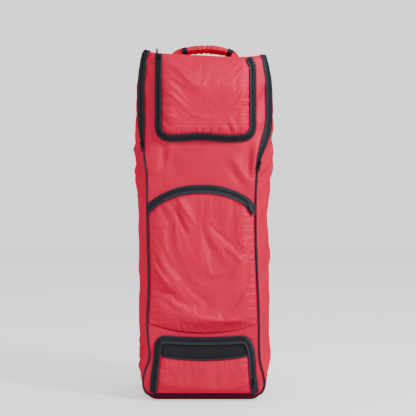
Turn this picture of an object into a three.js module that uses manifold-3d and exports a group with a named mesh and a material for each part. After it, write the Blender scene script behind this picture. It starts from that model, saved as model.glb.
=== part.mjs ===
// A tall soft kit bag that stands on its base: a sewn shell of five wall panels and a base, a long zip
// over each front corner, a domed top pocket, a broad middle pocket, a mesh-vented shoe pocket and a
// padded grab handle. Lengths are millimetres, +Z is up, the front faces -Y and +X is to the right of
// someone who looks at the front. The origin is the middle of the flat base, on the floor.

import * as THREE from "three";
import { mergeVertices } from "three/addons/utils/BufferGeometryUtils.js";
import Module from "manifold-3d";

const wasm = await Module();
wasm.setup();

// Driving sizes of the shell
const bodyHeight = 796;
const bodyWidth = 328;
const bodyDepth = 302;
const clothWall = 2;
const seamGap = 0.6;
const topSeamGap = 3.4;
const baseSeamGap = 1.6;
const backCornerRadius = 36;
const cornerStart = 0.7;
const cornerSharpness = 6;
const topCrown = 5;
const topEdgeStart = 0.86;
const sideBulge = 12;
const baseFlatShare = 0.8;
const coreAcross = 0.33;
const coreDeep = 0.35;
const coreEnd = 0.06;

// Driving sizes of the main zips, one over each front corner
const mainZipWidth = 27;
const mainZipSlot = 10;
const leftZipEnd = 580;
const rightZipEnd = 532;
const zipThickness = 1.5;
const zipClearance = 0.6;
const topZipSpare = 0.9;
const zipSlotOpening = 14;
const zipClimbShare = 0.58;

// Driving sizes of the three pockets
const pocketWall = 1.6;
const pocketClearance = 0.4;
const topZipWidth = 17;
const archZipWidth = 20;
const topPocketLeft = -116;
const topPocketRight = 119;
const topPocketBottom = 600;
const topPocketCorner = 30;
const topPocketDepth = 21;
const topPocketShoulder = 44.2;
const topPocketLap = 0.8;
const middleArchCrown = 496;
const middleArchDrop = 46;
const archEndHook = 11;
const middleSeamHeight = 156;
const middleSeamLift = 25;
const middlePocketDepth = 15;
const middlePocketEdge = 5.2;
const middlePocketLap = 0.72;
const middleShoulderSide = 48;
const middleShoulderTop = 55;
const middleShoulderFoot = 30;
const middleFoldSide = 34;
const archZipInset = 14;
const shoeZipWidth = 17;
const slopeSpare = 1.2;
const shoePocketHalf = 114;
const shoePocketFlare = 10;
const shoePocketTop = 151;
const shoePocketSag = 5;
const shoePocketBottom = 18;
const shoePocketCorner = 20;
const shoePocketDepth = 17;
const shoePocketLap = 0.88;
const shoeFootShare = 0.25;
const shoeFootShoulder = 40;
const meshHeight = 38;
const meshSag = 12;
const bindingWidth = 5;
const bindingThickness = 1;

// Driving sizes of the piping, the handle and the zip pulls
const pipingRadius = 2;
const pipingClearance = 1;
const webbingWidth = 25;
const webbingThickness = 2;
const handleSpan = 146;
const handleRise = 24;
const handlePlace = 0;
const gripStart = 0.2;
const gripEnd = 0.83;
const gripHeight = 20;
const gripWidth = 36;
const gripBore = 1.3;
const cuffLength = 12;
const cuffWall = 1.2;
const cuffClearance = 0.8;
const sliderLength = 12;
const sliderWidth = 8.4;
const sliderPlate = 2.4;
const bridgeLength = 8.4;
const bridgeWidth = 2.4;
const bridgeWall = 1.2;
const pullBar = 1.8;
const pullClearance = 0.55;
const pullLength = 22;
const pullWidth = 6.4;
const pullEye = 3.8;
const pullEyeRim = 1.8;
const pullWindow = 5.2;

// Shares of the shell's half width, half depth and height at each section
const sections = [
  { height: 0.0126, front: 0.77, belly: 0.79, back: 0.72, reach: 0.914, corner: 0.907, turn: 60, shift: -0.006 },
  { height: 0.025, front: 0.84, belly: 0.855, back: 0.79, reach: 0.967, corner: 0.955, turn: 60, shift: -0.008 },
  { height: 0.045, front: 0.868, belly: 0.9, back: 0.835, reach: 0.987, corner: 0.974, turn: 62, shift: -0.008 },
  { height: 0.08, front: 0.842, belly: 0.938, back: 0.86, reach: 1, corner: 0.985, turn: 64, shift: -0.008 },
  { height: 0.12, front: 0.799, belly: 0.951, back: 0.872, reach: 1, corner: 0.987, turn: 65, shift: -0.008 },
  { height: 0.17, front: 0.808, belly: 0.951, back: 0.878, reach: 1, corner: 0.987, turn: 65, shift: -0.012 },
  { height: 0.24, front: 0.802, belly: 0.96, back: 0.884, reach: 1, corner: 0.987, turn: 65, shift: -0.014 },
  { height: 0.33, front: 0.787, belly: 0.963, back: 0.89, reach: 1, corner: 0.985, turn: 65, shift: -0.018 },
  { height: 0.44, front: 0.778, belly: 0.957, back: 0.89, reach: 1, corner: 0.985, turn: 66, shift: -0.026 },
  { height: 0.54, front: 0.778, belly: 0.957, back: 0.89, reach: 1, corner: 0.98, turn: 66, shift: -0.03 },
  { height: 0.64, front: 0.783, belly: 0.976, back: 0.896, reach: 1, corner: 0.975, turn: 64, shift: -0.026 },
  { height: 0.7, front: 0.805, belly: 0.991, back: 0.896, reach: 1, corner: 0.955, turn: 58, shift: -0.017 },
  { height: 0.745, front: 0.857, belly: 0.997, back: 0.9, reach: 1, corner: 0.9, turn: 54, shift: -0.006 },
  { height: 0.795, front: 0.905, belly: 0.997, back: 0.902, reach: 1, corner: 0.82, turn: 50, shift: 0 },
  { height: 0.88, front: 0.918, belly: 0.991, back: 0.902, reach: 0.994, corner: 0.795, turn: 50, shift: 0 },
  { height: 0.927, front: 0.91, belly: 0.973, back: 0.896, reach: 0.987, corner: 0.788, turn: 50, shift: 0 },
  { height: 0.965, front: 0.893, belly: 0.925, back: 0.872, reach: 0.967, corner: 0.781, turn: 50, shift: 0 },
  { height: 0.987, front: 0.875, belly: 0.887, back: 0.848, reach: 0.94, corner: 0.77, turn: 50, shift: 0 },
  { height: 1, front: 0.852, belly: 0.858, back: 0.82, reach: 0.885, corner: 0.74, turn: 50, shift: 0 },
];

// How far the top edge stands over the body height, by its place across the bag
const topEdge = [
  { across: -1, lift: 0.02 },
  { across: -0.87, lift: 0.018 },
  { across: -0.67, lift: 0.009 },
  { across: -0.4, lift: 0.004 },
  { across: 0, lift: 0 },
  { across: 0.45, lift: -0.004 },
  { across: 0.68, lift: -0.001 },
  { across: 0.78, lift: 0.003 },
  { across: 1, lift: 0 },
];

// Dents (negative) and folds (positive) of the walls: place as a share of the face's half size, the
// rest as shares of the body height, the turn in degrees from level
const wallFolds = [
  { face: "right", place: -0.42, height: 0.735, turn: 38, long: 0.075, wide: 0.022, deep: -0.008 },
  { face: "right", place: -0.3, height: 0.675, turn: 40, long: 0.09, wide: 0.024, deep: 0.009 },
  { face: "right", place: -0.45, height: 0.615, turn: 42, long: 0.08, wide: 0.022, deep: -0.009 },
  { face: "right", place: 0.1, height: 0.56, turn: 30, long: 0.1, wide: 0.026, deep: -0.007 },
  { face: "right", place: -0.1, height: 0.4, turn: 62, long: 0.13, wide: 0.03, deep: -0.007 },
  { face: "right", place: -0.5, height: 0.22, turn: 50, long: 0.09, wide: 0.024, deep: -0.006 },
  { face: "right", place: 0.2, height: 0.12, turn: 20, long: 0.1, wide: 0.022, deep: -0.008 },
  { face: "left", place: -0.2, height: 0.775, turn: -25, long: 0.08, wide: 0.022, deep: 0.006 },
  { face: "left", place: -0.1, height: 0.715, turn: -20, long: 0.1, wide: 0.024, deep: -0.009 },
  { face: "left", place: 0, height: 0.66, turn: -35, long: 0.1, wide: 0.024, deep: 0.006 },
  { face: "left", place: 0.2, height: 0.55, turn: -40, long: 0.12, wide: 0.028, deep: -0.007 },
  { face: "left", place: -0.1, height: 0.36, turn: -60, long: 0.12, wide: 0.03, deep: -0.006 },
  { face: "left", place: 0, height: 0.155, turn: 10, long: 0.12, wide: 0.024, deep: -0.008 },
  { face: "back", place: 0.3, height: 0.72, turn: -50, long: 0.13, wide: 0.035, deep: -0.008 },
  { face: "back", place: -0.35, height: 0.5, turn: 65, long: 0.15, wide: 0.035, deep: -0.008 },
  { face: "back", place: 0.2, height: 0.28, turn: 40, long: 0.14, wide: 0.035, deep: -0.008 },
  { face: "front", place: 0.62, height: 0.685, turn: 70, long: 0.05, wide: 0.022, deep: -0.006 },
  { face: "front", place: -0.45, height: 0.68, turn: -60, long: 0.05, wide: 0.024, deep: -0.005 },
];

// Folds of the pocket fronts: place across and height as shares of the body, the rest as above
const pocketFolds = [
  { place: -0.2, height: 0.93, turn: -42, long: 0.07, wide: 0.02, deep: 0.004 },
  { place: -0.42, height: 0.845, turn: 8, long: 0.05, wide: 0.018, deep: 0.004 },
  { place: 0.38, height: 0.8, turn: 65, long: 0.04, wide: 0.018, deep: -0.003 },
  { place: -0.22, height: 0.52, turn: -48, long: 0.1, wide: 0.024, deep: 0.007 },
  { place: 0.1, height: 0.44, turn: -55, long: 0.11, wide: 0.028, deep: -0.006 },
  { place: -0.45, height: 0.36, turn: -50, long: 0.07, wide: 0.022, deep: 0.006 },
  { place: 0.5, height: 0.35, turn: 75, long: 0.12, wide: 0.026, deep: 0.005 },
  { place: 0.1, height: 0.245, turn: -8, long: 0.12, wide: 0.022, deep: 0.006 },
];

// Outer size of the padded grip along its length
const gripSections = [
  { along: 0, size: 0.8 },
  { along: 0.12, size: 0.9 },
  { along: 0.35, size: 1.02 },
  { along: 0.47, size: 0.95 },
  { along: 0.6, size: 1.04 },
  { along: 0.85, size: 0.94 },
  { along: 1, size: 0.8 },
];

const red = { color: 0xe84053, roughness: 0.5, metalness: 0 };
const black = { color: 0x23262d, roughness: 0.7, metalness: 0 };
const steel = { color: 0x17181c, roughness: 0.35, metalness: 0.6 };

const bag = new THREE.Group();

const lerp = THREE.MathUtils.lerp;
const clamp = THREE.MathUtils.clamp;
const ramp = THREE.MathUtils.smoothstep;
const radians = THREE.MathUtils.degToRad;

function addPiece(name, geometry, finish) {
  const mesh = new THREE.Mesh(geometry, new THREE.MeshStandardMaterial(finish));
  mesh.name = name;
  bag.add(mesh);
  return mesh;
}

// Value of one column of a table between its rows, on a smooth curve
function columnAt(table, key, column, place) {
  const last = table.length - 1;
  let row = 0;
  while (row < last - 1 && place > table[row + 1][key]) row += 1;
  const span = table[row + 1][key] - table[row][key];
  const share = clamp((place - table[row][key]) / span, 0, 1);
  const slopeAt = (index) => {
    const before = table[Math.max(index - 1, 0)];
    const after = table[Math.min(index + 1, last)];
    return ((after[column] - before[column]) / (after[key] - before[key])) * span;
  };
  const square = share * share;
  const cube = square * share;
  return (
    (2 * cube - 3 * square + 1) * table[row][column] +
    (cube - 2 * square + share) * slopeAt(row) +
    (3 * square - 2 * cube) * table[row + 1][column] +
    (cube - square) * slopeAt(row + 1)
  );
}

function easeOut(share) {
  return 1 - (1 - clamp(share, 0, 1)) ** 2;
}

// Height of one fold's ridge at a point of its face, given by two lengths along the face
function foldHeight(fold, across, up) {
  const turn = radians(fold.turn);
  const along = across * Math.cos(turn) + up * Math.sin(turn);
  const beside = up * Math.cos(turn) - across * Math.sin(turn);
  const length = fold.long * bodyHeight;
  const width = fold.wide * bodyHeight;
  return fold.deep * bodyHeight * Math.exp(-((along / length) ** 2) - (beside / width) ** 2);
}

function wallFoldAt(face, place, height) {
  const half = face === "front" || face === "back" ? bodyWidth / 2 : bodyDepth / 2;
  return wallFolds
    .filter((fold) => fold.face === face)
    .reduce((sum, fold) => sum + foldHeight(fold, place - fold.place * half, height - fold.height * bodyHeight), 0);
}

function pocketFoldAt(x, height) {
  return pocketFolds.reduce(
    (sum, fold) =>
      sum + foldHeight(fold, x - (fold.place * bodyWidth) / 2, height - fold.height * bodyHeight),
    0,
  );
}

// The shell's outline at one height, in millimetres
function sectionAt(height) {
  const share = height / bodyHeight;
  const at = (column) => columnAt(sections, "height", column, share);
  return {
    front: (at("front") * bodyWidth) / 2,
    belly: (at("belly") * bodyWidth) / 2,
    back: (at("back") * bodyWidth) / 2,
    reach: (at("reach") * bodyDepth) / 2,
    corner: (at("corner") * bodyDepth) / 2,
    turn: radians(at("turn")),
    shift: at("shift") * bodyWidth,
  };
}

// The top edge is a little higher on one side than on the other
function edgeLift(x) {
  return columnAt(topEdge, "across", "lift", clamp((2 * x) / bodyWidth, -1, 1)) * bodyHeight;
}

function settle(point) {
  point.z += edgeLift(point.x) * ramp(point.z, topEdgeStart * bodyHeight, bodyHeight);
  return point;
}

// The shell's outer face. Round is 0 in the middle of the front, 1 at the right front corner, 2 where
// the right side meets the back and 3 in the middle of the back; it is negative on the left.
function wallPoint(round, height) {
  const cut = sectionAt(height);
  const hand = Math.sign(round) || 1;
  const turn = Math.abs(round);
  const cornerX = cut.front;
  const cornerY = -cut.corner;
  let x;
  let y;
  if (turn <= 1) {
    x = cut.shift + hand * turn * cornerX;
    y = -cut.reach + (cut.reach - cut.corner) * turn ** cornerSharpness;
    y -= wallFoldAt("front", x, height) * (1 - turn ** 4);
    return settle(new THREE.Vector3(x, y, height));
  }
  const bend = cornerStart;
  if (turn <= 2) {
    const share = turn - 1;
    const out = (cut.belly - (cut.front + cut.back) / 8) / 0.75;
    const backY = cut.reach - backCornerRadius;
    if (share < bend) {
      const side = new THREE.CubicBezierCurve(
        new THREE.Vector2(cornerX, cornerY),
        new THREE.Vector2(out, cornerY + Math.max(out - cornerX, sideBulge) * Math.tan(cut.turn)),
        new THREE.Vector2(out, backY * 0.4),
        new THREE.Vector2(cut.back, backY),
      ).getPoint(share / bend);
      x = side.x;
      y = side.y;
    } else {
      const angle = ((share - bend) / (1 - bend)) * (Math.PI / 2);
      x = cut.back - backCornerRadius * (1 - Math.cos(angle));
      y = backY + backCornerRadius * Math.sin(angle);
    }
    const edge = Math.sin(Math.PI * share);
    x += wallFoldAt(hand > 0 ? "right" : "left", y, height) * edge;
    x = hand * x + cut.shift * (1 - share) ** 2;
    return settle(new THREE.Vector3(x, y, height));
  }
  const share = turn - 2;
  x = hand * (cut.back - backCornerRadius) * (1 - share);
  y = cut.reach + wallFoldAt("back", x, height) * share;
  return settle(new THREE.Vector3(x, y, height));
}

// Direction from a point of the shell to its inside, the same on both sides of every seam
function inwardAt(point) {
  const core = new THREE.Vector3(
    clamp(point.x, -bodyWidth * coreAcross, bodyWidth * coreAcross),
    clamp(point.y, -bodyDepth * coreDeep, bodyDepth * coreDeep),
    clamp(point.z, bodyHeight * coreEnd, bodyHeight * (1 - coreEnd)),
  );
  return core.sub(point).normalize();
}

// Length of the outline for each unit of round, just before or after a corner
function roundSpeed(round, height) {
  const step = 0.01;
  return wallPoint(round, height).distanceTo(wallPoint(round + step, height)) / step;
}

// Round value that lies a length away from the front corner, towards the front if negative
function besideCorner(hand, height, length) {
  const speed = roundSpeed(length < 0 ? 0.98 : 1.01, height);
  return hand * (1 + length / speed);
}

// A sheet of cloth over a grid of points, closed on all sides. outer(a, t) gives its outer face for
// a and t from 0 to 1, and toInner(point, a, t) the vector from there to its inner face.
function sheetSolid(outer, toInner, acrossSteps, alongSteps) {
  const positions = [];
  const index = [];
  const columns = acrossSteps + 1;
  const layer = columns * (alongSteps + 1);
  const faces = [[], []];
  for (let j = 0; j <= alongSteps; j += 1) {
    for (let i = 0; i <= acrossSteps; i += 1) {
      const a = i / acrossSteps;
      const t = j / alongSteps;
      const point = outer(a, t);
      faces[0].push(point);
      faces[1].push(point.clone().add(toInner(point, a, t)));
    }
  }
  faces.flat().forEach((point) => positions.push(point.x, point.y, point.z));
  const quad = (a, b, c, d) => index.push(a, b, c, a, c, d);
  const at = (i, j, side) => side * layer + j * columns + i;
  for (let j = 0; j < alongSteps; j += 1) {
    for (let i = 0; i < acrossSteps; i += 1) {
      quad(at(i, j, 0), at(i + 1, j, 0), at(i + 1, j + 1, 0), at(i, j + 1, 0));
      quad(at(i, j, 1), at(i, j + 1, 1), at(i + 1, j + 1, 1), at(i + 1, j, 1));
    }
  }
  for (let i = 0; i < acrossSteps; i += 1) {
    quad(at(i, 0, 0), at(i, 0, 1), at(i + 1, 0, 1), at(i + 1, 0, 0));
    quad(at(i, alongSteps, 0), at(i + 1, alongSteps, 0), at(i + 1, alongSteps, 1), at(i, alongSteps, 1));
  }
  for (let j = 0; j < alongSteps; j += 1) {
    quad(at(0, j, 0), at(0, j + 1, 0), at(0, j + 1, 1), at(0, j, 1));
    quad(at(acrossSteps, j, 0), at(acrossSteps, j, 1), at(acrossSteps, j + 1, 1), at(acrossSteps, j + 1, 0));
  }
  return indexedGeometry(positions, index);
}

function indexedGeometry(positions, index) {
  const geometry = new THREE.BufferGeometry();
  geometry.setAttribute("position", new THREE.Float32BufferAttribute(positions, 3));
  geometry.setIndex(index);
  geometry.computeVertexNormals();
  return geometry;
}

// Outward normal of a sheet at a point, from the sheet's own slopes
function sheetNormal(outer, a, t) {
  const step = 0.004;
  const across = outer(Math.min(a + step, 1), t).sub(outer(Math.max(a - step, 0), t));
  const along = outer(a, Math.min(t + step, 1)).sub(outer(a, Math.max(t - step, 0)));
  return across.cross(along).normalize();
}

// A thin strip or cloth whose inner face is given, with its thickness added outwards
function clothOn(inner, thickness, acrossSteps, alongSteps) {
  const outer = (a, t) => inner(a, t).addScaledVector(sheetNormal(inner, a, t), thickness);
  const back = (point, a, t) => inner(a, t).sub(point);
  return sheetSolid(outer, back, acrossSteps, alongSteps);
}

function wallPanel(outer, acrossSteps, alongSteps) {
  const wall = (point) => inwardAt(point).multiplyScalar(clothWall);
  return sheetSolid(outer, wall, acrossSteps, alongSteps);
}

// Half of the gap at a front corner: a slot under the main zip, and a sewn seam below it
function cornerGap(hand, height) {
  const zipEnd = hand > 0 ? rightZipEnd : leftZipEnd;
  const open = ramp(height, zipEnd - zipSlotOpening, zipEnd + zipSlotOpening);
  return lerp(seamGap / 2, mainZipSlot / 2, open);
}

const wallFoot = sections[0].height * bodyHeight;

// Rows of the walls lie closer together near the foot and the top
function rowShare(t) {
  return t - 0.08 * Math.sin(2 * Math.PI * t);
}

function frontPanel() {
  return wallPanel(
    (a, t) => {
      const height = lerp(wallFoot, bodyHeight, rowShare(t));
      const left = besideCorner(-1, height, -cornerGap(-1, height));
      const right = besideCorner(1, height, -cornerGap(1, height));
      return wallPoint(lerp(left, right, a), height);
    },
    10,
    26,
  );
}

// Half of the gap along the top's side edge, which is a slot up to the back end of the main zip
function topGap(back) {
  return lerp(mainZipSlot / 2, topSeamGap / 2, ramp(back, cornerStart - 0.08, cornerStart));
}

function sidePanel(hand) {
  return wallPanel(
    (a, t) => {
      const share = hand > 0 ? a : 1 - a;
      const height = lerp(wallFoot, bodyHeight - topGap(share), rowShare(t));
      const start = Math.abs(besideCorner(hand, height, cornerGap(hand, height)));
      const end = 2 - seamGap / 2 / roundSpeed(1.97, height);
      return wallPoint(hand * lerp(start, end, share), height);
    },
    9,
    26,
  );
}

function backPanel() {
  return wallPanel(
    (a, t) => {
      const height = lerp(wallFoot, bodyHeight, rowShare(t));
      const start = 2 + seamGap / 2 / roundSpeed(2.01, height);
      const share = lerp(start, 6 - start, a);
      return wallPoint(share <= 3 ? share : share - 6, height);
    },
    8,
    11,
  );
}

// A point inside the shell's outline at one height: a runs across from -1 to 1, b from front to back
function insideOutline(height, a, b) {
  const side = wallPoint(1 + b, height);
  const otherSide = wallPoint(-1 - b, height);
  const first = wallPoint(1, height);
  const last = wallPoint(2, height);
  const share = (side.y - first.y) / (last.y - first.y);
  const front = wallPoint(a, height).y;
  const back = wallPoint(a < 0 ? -3 - a : 3 - a, height).y;
  return new THREE.Vector3(lerp(otherSide.x, side.x, (a + 1) / 2), lerp(front, back, share), height);
}

function topPoint(a, b) {
  const point = insideOutline(bodyHeight, a, b);
  point.z += topCrown * (1 - a * a) * (1 - (2 * b - 1) ** 2);
  point.z += edgeLift(point.x);
  return point;
}

function topPanel() {
  const half = (sections.at(-1).belly * bodyWidth) / 2;
  const endShare = topSeamGap / bodyDepth;
  return wallPanel(
    (a, t) => {
      const back = lerp(endShare, 1 - endShare, t);
      const sideShare = 1 - topGap(back) / half;
      return topPoint(lerp(-sideShare, sideShare, a), back);
    },
    8,
    8,
  );
}

function basePanel() {
  const reach = 1 - (2 * seamGap) / bodyWidth;
  return wallPanel(
    (a, t) => {
      const across = lerp(-reach, reach, a);
      const along = lerp(reach, -reach, t);
      const point = insideOutline(wallFoot, across, (along + 1) / 2);
      const rim = Math.max(Math.abs(across), Math.abs(along));
      point.z = (wallFoot - baseSeamGap) * clamp((rim - baseFlatShare) / (1 - baseFlatShare), 0, 1) ** 2;
      return point;
    },
    10,
    10,
  );
}

// How far the front panel's outer face reaches at a place across and a height
function frontLevel(x, height) {
  const cut = sectionAt(height);
  return wallPoint(clamp((x - cut.shift) / cut.front, -1, 1), height).y;
}

// Shape of the top pocket: its outline is a U that is open at the top
function topPocketInside(x, height) {
  const side = Math.min(x - topPocketLeft, topPocketRight - x);
  const up = height - topPocketBottom;
  if (side < topPocketCorner && up < topPocketCorner) {
    return topPocketCorner - Math.hypot(topPocketCorner - side, topPocketCorner - up);
  }
  return Math.min(side, up);
}

function topPocketRise(x, height) {
  const taper = 1 - 0.8 * ramp(height, 0.9 * bodyHeight, bodyHeight);
  const inside = topPocketInside(x, height);
  const fold = pocketFoldAt(x, height) * ramp(inside, 0.5 * topZipWidth, 2.5 * topZipWidth);
  return taper * (topPocketDepth * easeOut(inside / topPocketShoulder) + fold);
}

// Edges of the middle pocket at a place across or a height
function pipingEdges(height) {
  const cut = sectionAt(height);
  return { left: cut.shift - cut.front, right: cut.shift + cut.front };
}

function acrossShare(x, height) {
  const edges = pipingEdges(height);
  return clamp((2 * x - edges.left - edges.right) / (edges.right - edges.left), -1, 1);
}

function archHeight(x) {
  const share = acrossShare(x, middleArchCrown);
  return middleArchCrown - middleArchDrop * Math.abs(share) ** 2.4;
}

function smileHeight(x) {
  const share = acrossShare(x, middleSeamHeight);
  return middleSeamHeight + middleSeamLift * Math.abs(share) ** 2.2;
}

function middlePocketRise(x, height) {
  const edges = pipingEdges(height);
  const side = Math.min(x - edges.left, edges.right - x);
  const down = archHeight(x) - height;
  const up = height - smileHeight(x);
  const body =
    easeOut(side / middleShoulderSide) * easeOut(down / middleShoulderTop) * easeOut(up / middleShoulderFoot);
  const inField =
    ramp(side, 2 * pipingRadius, middleFoldSide) *
    ramp(down, archZipWidth, 2.5 * archZipWidth) *
    ramp(up, pipingRadius, middleShoulderFoot);
  return middlePocketDepth * body + pocketFoldAt(x, height) * inField;
}

// Shape of the shoe pocket: it widens downwards and its top edge sags
function shoeEdges(height) {
  const half = shoePocketHalf + shoePocketFlare * (1 - height / shoePocketTop);
  const middle = sectionAt(height).shift;
  return { left: middle - half, right: middle + half };
}

function shoePocketInside(x, height) {
  const edges = shoeEdges(height);
  const side = Math.min(x - edges.left, edges.right - x);
  const middle = (edges.left + edges.right) / 2;
  const sag = shoePocketSag * (1 - ((x - middle) / shoePocketHalf) ** 2);
  const down = shoePocketTop - sag - height;
  if (side < shoePocketCorner && down < shoePocketCorner) {
    return shoePocketCorner - Math.hypot(shoePocketCorner - side, shoePocketCorner - down);
  }
  return Math.min(side, down);
}

function shoePocketRise(x, height) {
  const inside = shoePocketInside(x, height);
  const fade = lerp(shoeFootShare, 1, easeOut((height - wallFoot) / shoeFootShoulder));
  return shoePocketDepth * easeOut(inside / (2 * shoeZipWidth)) * fade;
}

// A point that lies over the front panel by a rise and a clearance
function overFront(x, height, rise, clearance) {
  return new THREE.Vector3(x, frontLevel(x, height) - rise - clearance, height);
}

// Points of a line across the front, drawn in x and height, with the direction beside it
class FrontLine {
  constructor(points) {
    this.curve = new THREE.CatmullRomCurve3(
      points.map(([x, height]) => new THREE.Vector3(x, 0, height)),
      false,
      "centripetal",
    );
  }

  // Place at a share of the line's length, moved to its left by a length
  at(share, beside) {
    const point = this.curve.getPointAt(clamp(share, 0, 1));
    const way = this.curve.getTangentAt(clamp(share, 0, 1));
    return [point.x - way.z * beside, point.z + way.x * beside];
  }
}

// A zip band along a line of the front: its outer half lies on the wall, its inner half on the pocket
function zipOver(line, width, rise, steps) {
  const inner = (a, t) => {
    const beside = lerp(width / 2, -width / 2, a);
    const [x, height] = line.at(rowShare(t), beside);
    const step = ramp(-beside, -0.45 * width, -0.1 * width);
    const clearance = lerp(zipClearance, pocketClearance + pocketWall + slopeSpare + zipClearance, step);
    return settle(overFront(x, height, rise(x, height), clearance));
  };
  return { inner, across: 3, along: steps };
}

// Line of the top pocket's zip, a band's half width inside its outline, from the left end round to the right
function topZipLine() {
  const inset = topZipWidth / 2;
  const left = topPocketLeft + inset;
  const right = topPocketRight - inset;
  const low = topPocketBottom + inset;
  const bend = topPocketCorner - inset;
  const points = [];
  const top = bodyHeight - 4;
  [0, 0.2, 0.4, 0.6, 0.8].forEach((share) => points.push([left, lerp(top, low + bend, share)]));
  [0, 30, 60, 90].forEach((angle) =>
    points.push([left + bend * (1 - Math.cos(radians(angle))), low + bend * (1 - Math.sin(radians(angle)))]),
  );
  [0.2, 0.4, 0.6, 0.8].forEach((share) => points.push([lerp(left + bend, right - bend, share), low]));
  [90, 60, 30, 0].forEach((angle) =>
    points.push([right - bend * (1 - Math.cos(radians(angle))), low + bend * (1 - Math.sin(radians(angle)))]),
  );
  [0.8, 0.6, 0.4, 0.2, 0].forEach((share) => points.push([right, lerp(top, low + bend, share)]));
  return new FrontLine(points.reverse());
}

function middleZipLine() {
  const edges = pipingEdges(middleArchCrown - middleArchDrop);
  return new FrontLine(
    [0, 0.06, 0.14, 0.25, 0.38, 0.5, 0.62, 0.75, 0.86, 0.93, 0.98, 1].map((share) => {
      const x = lerp(edges.left + archZipInset, edges.right - archZipInset, share);
      const hook = share > 0.9 ? archEndHook * ((share - 0.9) / 0.1) ** 2 : 0;
      return [x, archHeight(x) - archZipWidth / 2 - hook];
    }),
  );
}

function shoeZipLine() {
  const inset = shoeZipWidth / 2;
  const bend = shoePocketCorner - inset / 2;
  const low = shoePocketBottom;
  const high = shoePocketTop - inset;
  const sideAt = (hand, height) => {
    const edges = shoeEdges(height);
    return hand < 0 ? edges.left + inset : edges.right - inset;
  };
  const middle = (sideAt(-1, high) + sideAt(1, high)) / 2;
  const sagAt = (x) => shoePocketSag * (1 - ((x - middle) / shoePocketHalf) ** 2);
  const points = [];
  [0, 0.3, 0.6, 0.85].forEach((share) => {
    const height = lerp(low, high - bend, share);
    points.push([sideAt(-1, height), height]);
  });
  [15, 45, 75].forEach((angle) => {
    const x = sideAt(-1, high) + bend * (1 - Math.cos(radians(angle)));
    points.push([x, high - bend * (1 - Math.sin(radians(angle))) - sagAt(x)]);
  });
  [0.2, 0.35, 0.5, 0.65, 0.8].forEach((share) => {
    const x = lerp(sideAt(-1, high), sideAt(1, high), share);
    points.push([x, high - sagAt(x)]);
  });
  [75, 45, 15].forEach((angle) => {
    const x = sideAt(1, high) - bend * (1 - Math.cos(radians(angle)));
    points.push([x, high - bend * (1 - Math.sin(radians(angle))) - sagAt(x)]);
  });
  [0.85, 0.6, 0.3, 0].forEach((share) => {
    const height = lerp(low, high - bend, share);
    points.push([sideAt(1, height), height]);
  });
  return new FrontLine(points);
}

function topPocketPanel() {
  const inset = topPocketLap * topZipWidth;
  const low = topPocketBottom + inset;
  const bend = Math.max(topPocketCorner - inset, 6);
  const inner = (a, t) => {
    const height = lerp(low, bodyHeight - 2, t ** 1.3);
    const dip = Math.max(bend - (height - low), 0);
    const tuck = bend - Math.sqrt(Math.max(bend * bend - dip * dip, 0));
    const x = lerp(topPocketLeft + inset + tuck, topPocketRight - inset - tuck, a);
    return settle(overFront(x, height, topPocketRise(x, height), pocketClearance));
  };
  return clothOn(inner, pocketWall, 10, 12);
}

function middlePocketPanel() {
  const acrossAt = (height, a) =>
    lerp(pipingEdges(height).left + middlePocketEdge, pipingEdges(height).right - middlePocketEdge, a);
  const inner = (a, t) => {
    const guess = acrossAt((middleSeamHeight + middleArchCrown) / 2, a);
    const height = lerp(smileHeight(guess), archHeight(guess) - middlePocketLap * archZipWidth, t);
    const x = acrossAt(height, a);
    return overFront(x, height, middlePocketRise(x, height), pocketClearance);
  };
  return clothOn(inner, pocketWall, 11, 14);
}

// The lower edge of the mesh hangs in a shallow curve
function meshEdge(x) {
  const middle = sectionAt(shoePocketTop).shift;
  const share = (x - middle) / shoePocketHalf;
  return shoePocketTop - shoeZipWidth - meshHeight + meshSag * share * share;
}

function shoeCloth(lowAt, highAt, alongSteps) {
  const inset = shoePocketLap * shoeZipWidth;
  const inner = (a, t) => {
    const wide = shoeEdges(shoePocketTop - shoeZipWidth);
    const guess = lerp(wide.left + inset, wide.right - inset, a);
    const height = lerp(lowAt(guess), highAt(guess), t);
    const edges = shoeEdges(height);
    const x = lerp(edges.left + inset, edges.right - inset, a);
    return overFront(x, height, shoePocketRise(x, height), pocketClearance);
  };
  return clothOn(inner, pocketWall, 10, alongSteps);
}

function shoeTopAt(x) {
  const middle = sectionAt(shoePocketTop).shift;
  const share = (x - middle) / shoePocketHalf;
  return shoePocketTop - shoePocketSag * (1 - share * share) - shoePocketLap * shoeZipWidth;
}

function shoePanel() {
  return shoeCloth(() => shoePocketBottom, (x) => meshEdge(x) - seamGap / 2, 6);
}

function shoeMesh() {
  return shoeCloth((x) => meshEdge(x) + seamGap / 2, shoeTopAt, 3);
}

function meshBinding() {
  const edges = shoeEdges(shoePocketTop - shoeZipWidth - meshHeight);
  const inset = 1.25 * shoeZipWidth;
  const inner = (a, t) => {
    const x = lerp(edges.left + inset, edges.right - inset, t);
    const height = meshEdge(x) + lerp(bindingWidth / 2, -bindingWidth / 2, a);
    return overFront(x, height, shoePocketRise(x, height), pocketClearance + pocketWall + slopeSpare);
  };
  return clothOn(inner, bindingThickness, 1, 12);
}

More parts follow.
